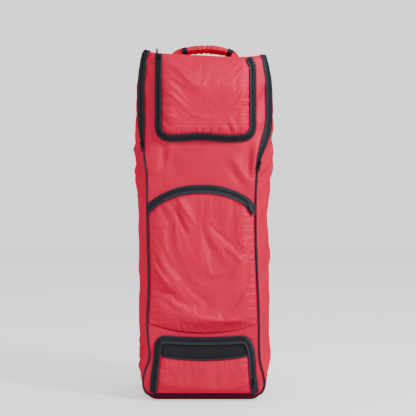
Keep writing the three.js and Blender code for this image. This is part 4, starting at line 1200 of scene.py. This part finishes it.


# Path of a thin dark cord along the curved seam under the middle pocket: painted shade of the seam's groove
def middleSeamPath():
    left, right = pipingEdges(middlePocket["seam"])
    x = left + (right - left) * np.linspace(0.012, 0.988, 160)
    return overFront(x, smileHeight(x) - 0.0004, 0.0, layers["clearance"] + layers["wall"] * 0.5)


# Shoe pocket: a mesh vent over a cloth panel
def shoeShare(x):
    return (x - sectionAt(shoePocket["top"])["shift"]) / shoePocket["half"]


def meshEdge(x):
    low = shoePocket["top"] - shoePocket["zipWidth"] - shoePocket["meshHeight"]
    return low + shoePocket["meshCurve"] * shoeShare(x) ** 2


def shoeTopAt(x):
    sag = shoePocket["sag"] * (1 - shoeShare(x) ** 2)
    return shoePocket["top"] - sag - shoePocket["inset"] * shoePocket["zipWidth"]


def shoeGrid(lowAt, highAt, rows):
    inset = shoePocket["inset"] * shoePocket["zipWidth"]
    up = np.linspace(0, 1, rows + 1)[:, None]
    across = np.linspace(0, 1, shoePocket["columns"] + 1)[None, :]
    wideLeft, wideRight = shoeEdges(shoePocket["top"] - shoePocket["zipWidth"])
    guess = wideLeft + inset + (wideRight - wideLeft - 2 * inset) * across
    height = lowAt(guess) + (highAt(guess) - lowAt(guess)) * up
    left, right = shoeEdges(height)
    return left + inset + (right - left - 2 * inset) * across, height


def shoeFrontPoints():
    x, height = shoeGrid(lambda place: shoePocket["bottom"] + 0 * place, meshEdge, shoePocket["rows"])
    left, right = shoeEdges(height)
    side = np.minimum(x - left, right - x) - 0.015
    rise = shoePocketRise(x, height) + gathers(height, side, seed=51, depth=0.0014, reach=0.02)
    rise = rise + foldSum(shoeCreases, shell["width"] / 2, x, height) * ramp(side, 0.0, 0.012)
    rise = rise + gathers(x, meshEdge(x) - height, seed=52, depth=0.0006, reach=0.012)
    rise = rise + seededCreases(x, height, *fineCreases["shoe"]) * ramp(side, 0.0, 0.015)
    return sewnOver(x, height, rise)


def ventPoints():
    x, height = shoeGrid(meshEdge, shoeTopAt, shoePocket["ventRows"])
    sewn = gathers(x, shoeTopAt(x) - height, seed=54, depth=0.0008, reach=0.012)
    return sewnOver(x, height, shoePocketRise(x, height) + sewn)


clothOver("topPocketFront", topFrontPoints(), 0.002, 0.12, redMaterial, "top_pocket_panel")
middlePoints = middleFrontPoints()
clothOver("middlePocketFront", middlePoints, 0.005, 0.06, redMaterial, "middle_pocket_panel")
clothOver("shoePocketFront", shoeFrontPoints(), 0.01, 0.02, redMaterial, "shoe_pocket_panel")
clothOver("shoePocketVent", ventPoints(), 0, 0, netBlack, "shoe_pocket_mesh")
print("pockets made")


# A strip with a rounded profile over a guide surface, which inner(a, t) gives for shares across and along
def stripPiece(name, inner, acrossCount, alongCount, profile, material):
    a = np.linspace(0, 1, acrossCount + 1)[None, :]
    t = np.linspace(0, 1, alongCount + 1)[:, None]
    a, t = np.broadcast_arrays(a, t)
    points = inner(a, t)
    normals = gridNormals(points)
    normals = np.where(normals[..., 1:2] > 0.9, -normals, normals)
    piece = gridPiece(name, points + normals * profile(a, t)[..., None], material)
    thickened(piece, 0.001)
    return piece


def zipOver(line, width, rise, spare=None):
    def inner(a, t):
        offset = width / 2 - width * a
        share = t - 0.08 * np.sin(2 * np.pi * t)
        x, height = beside(line, share, offset)
        if spare is not None:
            left, right = pipingEdges(height)
            x = np.clip(x, left + spare, right - spare)
        step = ramp(-offset, -0.45 * width, -0.1 * width)
        over = layers["clearance"] + layers["wall"] + layers["slopeSpare"] + layers["zipClearance"]
        clearance = layers["zipClearance"] + (over - layers["zipClearance"]) * step
        return overFront(x, height, rise(x, height), clearance)

    return inner


def speedAt(turn, height):
    step = 0.01
    return np.linalg.norm(wallPoint(turn, height) - wallPoint(turn + step, height), axis=-1) / step


mainZip = {
    "width": 0.029,
    "inset": {1: 0.0, -1: 0.0045},
    "low": {1: 0.532, -1: 0.58},
    "climb": 0.58,
    "spare": 0.0009,
    "footWidth": 0.36,
    "footShare": 0.2,
}


def mainZipOver(hand):
    def inner(a, t):
        climb = mainZip["climb"]
        low = mainZip["low"][hand]
        taper = mainZip["footWidth"] + (1 - mainZip["footWidth"]) * ramp(t, 0, mainZip["footShare"])
        offset = hand * (a - 0.5) * mainZip["width"] * taper - mainZip["inset"][hand] * ramp(t, 0.02, 0.2)
        height = low + (shell["height"] - low) * np.clip(t / climb, 0, 1)
        back = 0.97 * shell["cornerStart"] * np.clip(t - climb, 0, 1) / (1 - climb)
        turnIn = hand * (1 + offset / speedAt(0.98, height))
        onWall = wallPoint(turnIn, height)
        onTop = topPoint(np.clip(turnIn, -1, 1), back)
        inside = np.where((t <= climb)[..., None], onWall, onTop)
        fall = np.pi / 2 * ramp(t, climb - 0.09, climb + 0.05)
        turnOut = 1 + offset * np.cos(fall) / speedAt(1.01, height) + back
        outside = wallPoint(hand * np.minimum(turnOut, 1.98), height - offset * np.sin(fall))
        point = np.where((offset <= 0)[..., None], inside, outside)
        rise = layers["zipClearance"] + mainZip["spare"] * ramp(t, climb - 0.1, climb)
        return point - inward(point) * rise[..., None]

    return inner


tapeBand = {
    "thickness": 0.0012,
    "columns": 22,
    "step": 0.0025,
    "binding": 0.0019,
    "bindingRise": 0.0008,
    "groove": 0.0005,
    "grooveReach": 0.0035,
}
coil = {"pitch": 0.0017, "half": 0.001, "radius": 0.00062, "length": 0.0026, "sides": 8}
stitch = {"pitch": 0.0034, "places": (0.16, 0.84), "radius": 0.00034, "length": 0.0026, "sides": 6}


# One short bar, copied along the zips as a tooth or a stitch
def barUnit(values, turn):
    bpy.ops.mesh.primitive_cylinder_add(
        vertices=values["sides"], radius=values["radius"], depth=values["length"], rotation=turn
    )
    bpy.ops.object.transform_apply(location=False, rotation=True, scale=False)
    return bpy.context.object


toothUnit = barUnit(coil, (0, np.pi / 2, 0))
stitchUnit = barUnit(stitch, (np.pi / 2, 0, 0))


# Frames at an even pitch along a strip, at one share across it
def framesAlong(inner, place, pitch, lift, shift=0.0):
    t = np.linspace(0.004, 0.996, 1200)
    points = inner(np.full_like(t, place), t)
    step = 0.02
    side = inner(np.full_like(t, place + step), t) - inner(np.full_like(t, place - step), t)
    length = np.concatenate([[0], np.cumsum(np.linalg.norm(np.diff(points, axis=0), axis=1))])
    places = np.arange(shift, length[-1], pitch)
    origin = np.stack([np.interp(places, length, column) for column in points.T], axis=-1)
    side = unit(np.stack([np.interp(places, length, column) for column in side.T], axis=-1))
    along = unit(np.gradient(origin, axis=0))
    out = unit(np.cross(side, along))
    side = unit(np.cross(along, out))
    return origin + out * lift, side, along, out


def joinInto(main, other):
    bpy.ops.object.select_all(action="DESELECT")
    other.select_set(True)
    main.select_set(True)
    bpy.context.view_layer.objects.active = main
    bpy.ops.object.join()
    main.select_set(False)


def toothRow(name, inner, hand):
    lift = tapeBand["thickness"] + 0.0001
    shift = coil["pitch"] / 2 if hand > 0 else 0.0
    origin, across, along, out = framesAlong(inner, 0.5, coil["pitch"], lift, shift)
    frames = origin + across * hand * coil["half"], across, along, out
    return repeated(name, toothUnit, frames, blackMaterial)


def stitchRow(name, inner, place):
    frames = framesAlong(inner, place, stitch["pitch"], tapeBand["thickness"] + 0.0002)
    return repeated(name, stitchUnit, frames, bindingMaterial)


def zipPieces(name, inner, width, node, length):
    edge = tapeBand["binding"] / width

    def profile(a, t):
        rib = np.minimum(a, 1 - a)
        binding = tapeBand["bindingRise"] * np.sin(np.pi * np.clip(rib / edge, 0, 1)) ** 0.6
        middle = np.abs(a - 0.5) * width
        groove = tapeBand["groove"] * np.exp(-((middle / tapeBand["grooveReach"]) ** 2))
        return tapeBand["thickness"] + binding - groove

    rows = int(length / tapeBand["step"])
    tape = stripPiece(name + "Tape", inner, tapeBand["columns"], rows, profile, tapeMaterial)
    tape.data.materials.append(bindingMaterial)
    uv = tape.data.uv_layers.active.data
    half = width / 2 - tapeBand["binding"]
    for polygon in tape.data.polygons:
        u = sum(uv[loop].uv[0] for loop in polygon.loop_indices) / polygon.loop_total
        if abs(u) > half:
            polygon.material_index = 1
    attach(tape, "bag")
    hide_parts(node)
    teeth = toothRow(name + "Teeth", inner, -1)
    joinInto(teeth, toothRow(name + "TeethOther", inner, 1))
    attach(teeth, "bag")
    low, high = stitch["places"]
    stitches = stitchRow(name + "Stitches", inner, low)
    joinInto(stitches, stitchRow(name + "Stitches", inner, high))
    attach(stitches, "bag")


topInner = zipOver(topZipLine(), topPocket["zipWidth"], topPocketRise)
middleInner = zipOver(middleZipLine(), middlePocket["zipWidth"], middlePocketRise, 0.0012)
shoeInner = zipOver(shoeZipLine(), shoePocket["zipWidth"], shoePocketRise)
zipPieces("topPocketZip", topInner, topPocket["zipWidth"], "top_pocket_zip", 0.6)
zipPieces("middlePocketZip", middleInner, middlePocket["zipWidth"], "middle_pocket_zip", 0.27)
zipPieces("shoePocketZip", shoeInner, shoePocket["zipWidth"], "shoe_pocket_zip", 0.5)
zipPieces("mainZipRight", mainZipOver(1), mainZip["width"], "main_zip_right", 0.48)
zipPieces("mainZipLeft", mainZipOver(-1), mainZip["width"], "main_zip_left", 0.43)
bpy.data.objects.remove(toothUnit)
bpy.data.objects.remove(stitchUnit)
print("zips made")

# Bound edge of the mesh vent
binding = {"width": 0.005, "thickness": 0.0009}


def bindingInner(a, t):
    left, right = shoeEdges(shoePocket["top"] - shoePocket["zipWidth"] - shoePocket["meshHeight"])
    inset = 1.25 * shoePocket["zipWidth"]
    x = left + inset + (right - left - 2 * inset) * t
    height = meshEdge(x) + binding["width"] * (0.5 - a)
    clearance = layers["clearance"] + layers["wall"] + layers["slopeSpare"]
    return overFront(x, height, shoePocketRise(x, height), clearance)


def bindingProfile(a, t):
    return binding["thickness"] * np.sin(np.pi * a) ** 0.5


bound = stripPiece("ventBinding", bindingInner, 8, 90, bindingProfile, blackMaterial)
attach(bound, "bag")
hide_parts("shoe_mesh_binding")


def tubePiece(name, path, radius, sides, material):
    way = unit(np.gradient(path, axis=0))
    helper = unit(np.cross(way, np.array([0.0, 1.0, 0.001])))
    other = np.cross(way, helper)
    angles = np.linspace(0, 2 * np.pi, sides, endpoint=False)
    ring = helper[:, None, :] * np.cos(angles)[:, None] + other[:, None, :] * np.sin(angles)[:, None]
    steps = np.concatenate([[0], np.cumsum(np.linalg.norm(np.diff(path, axis=0), axis=1))])
    chart = np.stack(np.broadcast_arrays(angles[None, :] * 0.002, steps[:, None]), axis=-1)
    return sleevePiece(name, path[:, None, :] + ring * radius, material, chart)


# The seam's dark line is a cord in the painted-shade material, standing in for the shadow in the seam
seamShadeLine = tubePiece("middleSeamShadeLine", middleSeamPath(), 0.0007, 6, paintedShadeMaterial)
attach(seamShadeLine, "bag")

# Piping down both front corners and along the front's lower edge, sunk a little into the seam
piping = {"radius": 0.0023, "sunk": 0.0013, "foot": 0.003}


def pipingPath():
    low = wallFoot + piping["foot"]
    climb = [1.012, 0.99, 0.9, 0.8, 0.7, 0.6, 0.5, 0.4, 0.3, 0.22, 0.15, 0.1, 0.065, 0.04, 0.022, 0.008]
    climb = np.array(climb)
    leftUp = low + (mainZip["low"][-1] - low) * climb
    rightUp = low + (mainZip["low"][1] - low) * climb[::-1]
    across = np.array([-0.97, -0.8, -0.6, -0.3, 0, 0.3, 0.6, 0.8, 0.97])
    turn = np.concatenate([np.full(len(leftUp), -1.0), across, np.full(len(rightUp), 1.0)])
    height = np.concatenate([leftUp, np.full(len(across), low), rightUp])
    points = wallPoint(turn, height)
    lifts = np.full(len(turn), piping["radius"] - piping["sunk"])
    lifts[[0, -1]] = 0.0
    return smoothLine(points - inward(points) * lifts[:, None], 700)


pipePiece = tubePiece("frontPiping", pipingPath(), piping["radius"], 12, blackMaterial)
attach(pipePiece, "bag")
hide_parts("front_piping")

# Handle: webbing, padded grip and two cuffs
handle = {
    "span": 0.146,
    "rise": 0.024,
    "clearance": 0.0006,
    "webWidth": 0.025,
    "webThickness": 0.002,
    "webWall": 0.0018,
    "gripStart": 0.232,
    "gripEnd": 0.798,
    "gripHeight": 0.02,
    "gripWidth": 0.036,
    "gripLength": 0.105,
    "gripRound": 0.09,
    "gripSeam": 0.0016,
    "cuffLength": 0.012,
    "cuffRise": 0.0016,
    "cuffRib": 0.00035,
    "cuffRibs": 7,
    "lean": 0.95,
}
# The handle's line: share of its half span, share of its rise
handleRoute = np.array([
    [-1.32, 0],
    [-1.12, 0],
    [-1.0, 0.05],
    [-0.95, 0.34],
    [-0.82, 0.6],
    [-0.6, 0.77],
    [-0.3, 0.92],
    [0.1, 1.02],
    [0.35, 1.01],
    [0.55, 0.95],
    [0.77, 0.83],
    [0.91, 0.7],
    [0.98, 0.44],
    [1.04, 0.08],
    [1.14, 0],
    [1.36, 0],
])
# Thickness of the grip: share of its length, share of its size
gripRows = np.array([
    [0, 0.8],
    [0.12, 0.9],
    [0.35, 1.02],
    [0.47, 0.95],
    [0.6, 1.04],
    [0.85, 0.94],
    [1, 0.8],
])


def handlePath():
    x = handleRoute[:, 0] * handle["span"] / 2
    halfTop = wallPoint(1.5, shell["height"])[..., 0]
    level = topPoint(np.clip(x / halfTop, -1, 1), np.full_like(x, 0.5))[..., 2]
    z = level + handle["clearance"] + handleRoute[:, 1] * handle["rise"]
    return smoothLine(np.stack([x, np.zeros_like(x), z], axis=-1), 600)


handleLine = handlePath()


# A point beside the handle's line: share along it, a length across the bag and one up from the line
def handlePoint(share, across, up):
    places = np.linspace(0, 1, len(handleLine))
    way = unit(np.gradient(handleLine, axis=0))
    x = np.interp(share, places, handleLine[:, 0])
    z = np.interp(share, places, handleLine[:, 2])
    wayX = np.interp(share, places, way[:, 0])
    wayZ = np.interp(share, places, way[:, 2])
    return np.stack([x - wayZ * up, across + 0 * x, z + wayX * up], axis=-1)


# The webbing leans on its edge between the cuffs and the bag's top
def webPoints():
    t = np.linspace(0, 1, 160)[:, None]
    a = np.linspace(0, 1, 17)[None, :]
    up = handle["webThickness"] * (1 - 0.35 * np.abs(2 * a - 1) ** 6) + 0 * t
    across = handle["webWidth"] * (0.5 - a) + 0 * t
    pastGrip = ramp(np.abs(t - 0.515), 0.2, 0.26)
    onTop = ramp(np.abs(t - 0.5), 0.38, 0.43)
    lean = handle["lean"] * pastGrip * (1 - onTop)
    return handlePoint(t + 0 * a, across * np.cos(lean), up + across * np.sin(lean))


webPiece = gridPiece("handleWebbing", webPoints(), webMaterial)
thickened(webPiece, handle["webWall"])
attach(webPiece, "bag")
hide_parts("handle_webbing")


def gripHalf(share):
    size = curveAt(gripRows[:, 0], gripRows[:, 1], share)
    return handle["gripWidth"] / 2 * size, handle["gripHeight"] / 2 * size


def wrapPiece(name, start, end, along, around, relief, material):
    local = np.linspace(0, 1, along + 1)[:, None]
    angle = np.linspace(0, 2 * np.pi, around, endpoint=False)[None, :]
    share = start + (end - start) * local
    wide, high = gripHalf((share - handle["gripStart"]) / (handle["gripEnd"] - handle["gripStart"]))
    more = relief(local, angle)
    up = handle["webThickness"] / 2 + (high + more) * np.sin(angle)
    rings = handlePoint(share + 0 * angle, (wide + more) * np.cos(angle), up)
    u = np.linspace(0, handle["gripRound"], around)[None, :]
    v = np.linspace(0, handle["gripLength"], along + 1)[:, None]
    return sleevePiece(name, rings, material, np.stack(np.broadcast_arrays(u, v), axis=-1))


def gripRelief(local, angle):
    along = local * handle["gripLength"]
    seam = np.exp(-(((angle - 1.25 * np.pi) / 0.09) ** 2))
    creases = waves(along + 0.002 * np.sin(2 * angle), seed=61, longest=0.018, shortest=0.007)
    creases = creases * (0.5 + 0.5 * np.sin(angle + 2.2))
    crumple = waves(along + 0.004 * np.cos(angle), seed=62, longest=0.011, shortest=0.006)
    crumple = crumple * np.exp(-(((local - 0.5) / 0.16) ** 2))
    lengthwise = waves(angle * 0.012 + 0.001 * local, seed=63, longest=0.02, shortest=0.008)
    ends = np.minimum(1, np.minimum(local, 1 - local) / 0.03)
    folds = 0.0005 * creases + 0.0006 * crumple + 0.0007 * lengthwise - handle["gripSeam"] * seam
    return folds * ends - 0.004 * (1 - ends) ** 2


gripEnds = handle["gripStart"], handle["gripEnd"]
gripPiece = wrapPiece("handleGrip", *gripEnds, 130, 72, gripRelief, gripMaterial)
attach(gripPiece, "bag")
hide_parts("handle_grip")


def cuffRelief(local, angle):
    ribs = handle["cuffRib"] * np.cos(2 * np.pi * local * handle["cuffRibs"])
    ends = np.minimum(1, np.minimum(local, 1 - local) / 0.1)
    return handle["cuffRise"] * ends**0.5 + ribs * ends + 0 * angle


cuffShare = handle["cuffLength"] / np.linalg.norm(np.diff(handleLine, axis=0), axis=1).sum()
for name, start, node in (
    ("cuffLeft", handle["gripStart"], "handle_cuff_left"),
    ("cuffRight", handle["gripEnd"] - cuffShare, "handle_cuff_right"),
):
    cuff = wrapPiece(name, start, start + cuffShare, 40, 64, cuffRelief, blackMaterial)
    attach(cuff, "bag")
    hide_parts(node)
print("handle made")

# Sliders and pulls keep the CAD form, in worn enamel
for key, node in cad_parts.items():
    if key.endswith("_slider") or key.endswith("_pull"):
        node.data.materials.clear()
        node.data.materials.append(metalMaterial)

# Pale surround: a flat floor under a dome, with a glow of its own
stage = {"radius": 7.0, "colour": (0.55, 0.55, 0.55, 1), "glow": 0.62}
bpy.ops.mesh.primitive_uv_sphere_add(segments=96, ring_count=48, radius=stage["radius"])
floor = bpy.context.object
floor.name = "floor"
for corner in floor.data.vertices:
    corner.co.z = max(corner.co.z, 0.0)
bpy.ops.object.shade_smooth()
floorMaterial, floorShader = newMaterial("paleFloor")[:2]
floorShader.inputs["Base Color"].default_value = stage["colour"]
floorShader.inputs["Roughness"].default_value = 0.9
floorShader.inputs["Emission Color"].default_value = (1, 1, 1, 1)
floorShader.inputs["Emission Strength"].default_value = stage["glow"]
floor.data.materials.append(floorMaterial)

lights = {
    "key": {"place": (1.8, -1.7, 2.2), "size": 0.6, "power": 125},
    "crown": {"place": (0.6, 1.2, 2.8), "size": 1.6, "power": 16},
}
lightAim = Vector((0, 0, 0.4))
for name, values in lights.items():
    lamp = bpy.data.lights.new(name, "AREA")
    lamp.energy = values["power"]
    lamp.size = values["size"]
    light = bpy.data.objects.new(name, lamp)
    light.location = values["place"]
    light.rotation_euler = (lightAim - Vector(values["place"])).to_track_quat("-Z", "Y").to_euler()
    bpy.context.collection.objects.link(light)

world = bpy.data.worlds.new("softWorld")
world.use_nodes = True
world.node_tree.nodes["Background"].inputs[0].default_value = (1, 1, 1, 1)
world.node_tree.nodes["Background"].inputs[1].default_value = 0.05
bpy.context.scene.world = world

view = {"place": (0.008, -3.0, 0.443), "lens": 107.2}
lens = bpy.data.cameras.new("camera")
lens.lens = view["lens"]
lens.sensor_width = 36
camera = bpy.data.objects.new("camera", lens)
camera.location = view["place"]
camera.rotation_euler = (np.pi / 2, 0, 0)
bpy.context.collection.objects.link(camera)
bpy.context.scene.camera = camera
print("stage made")
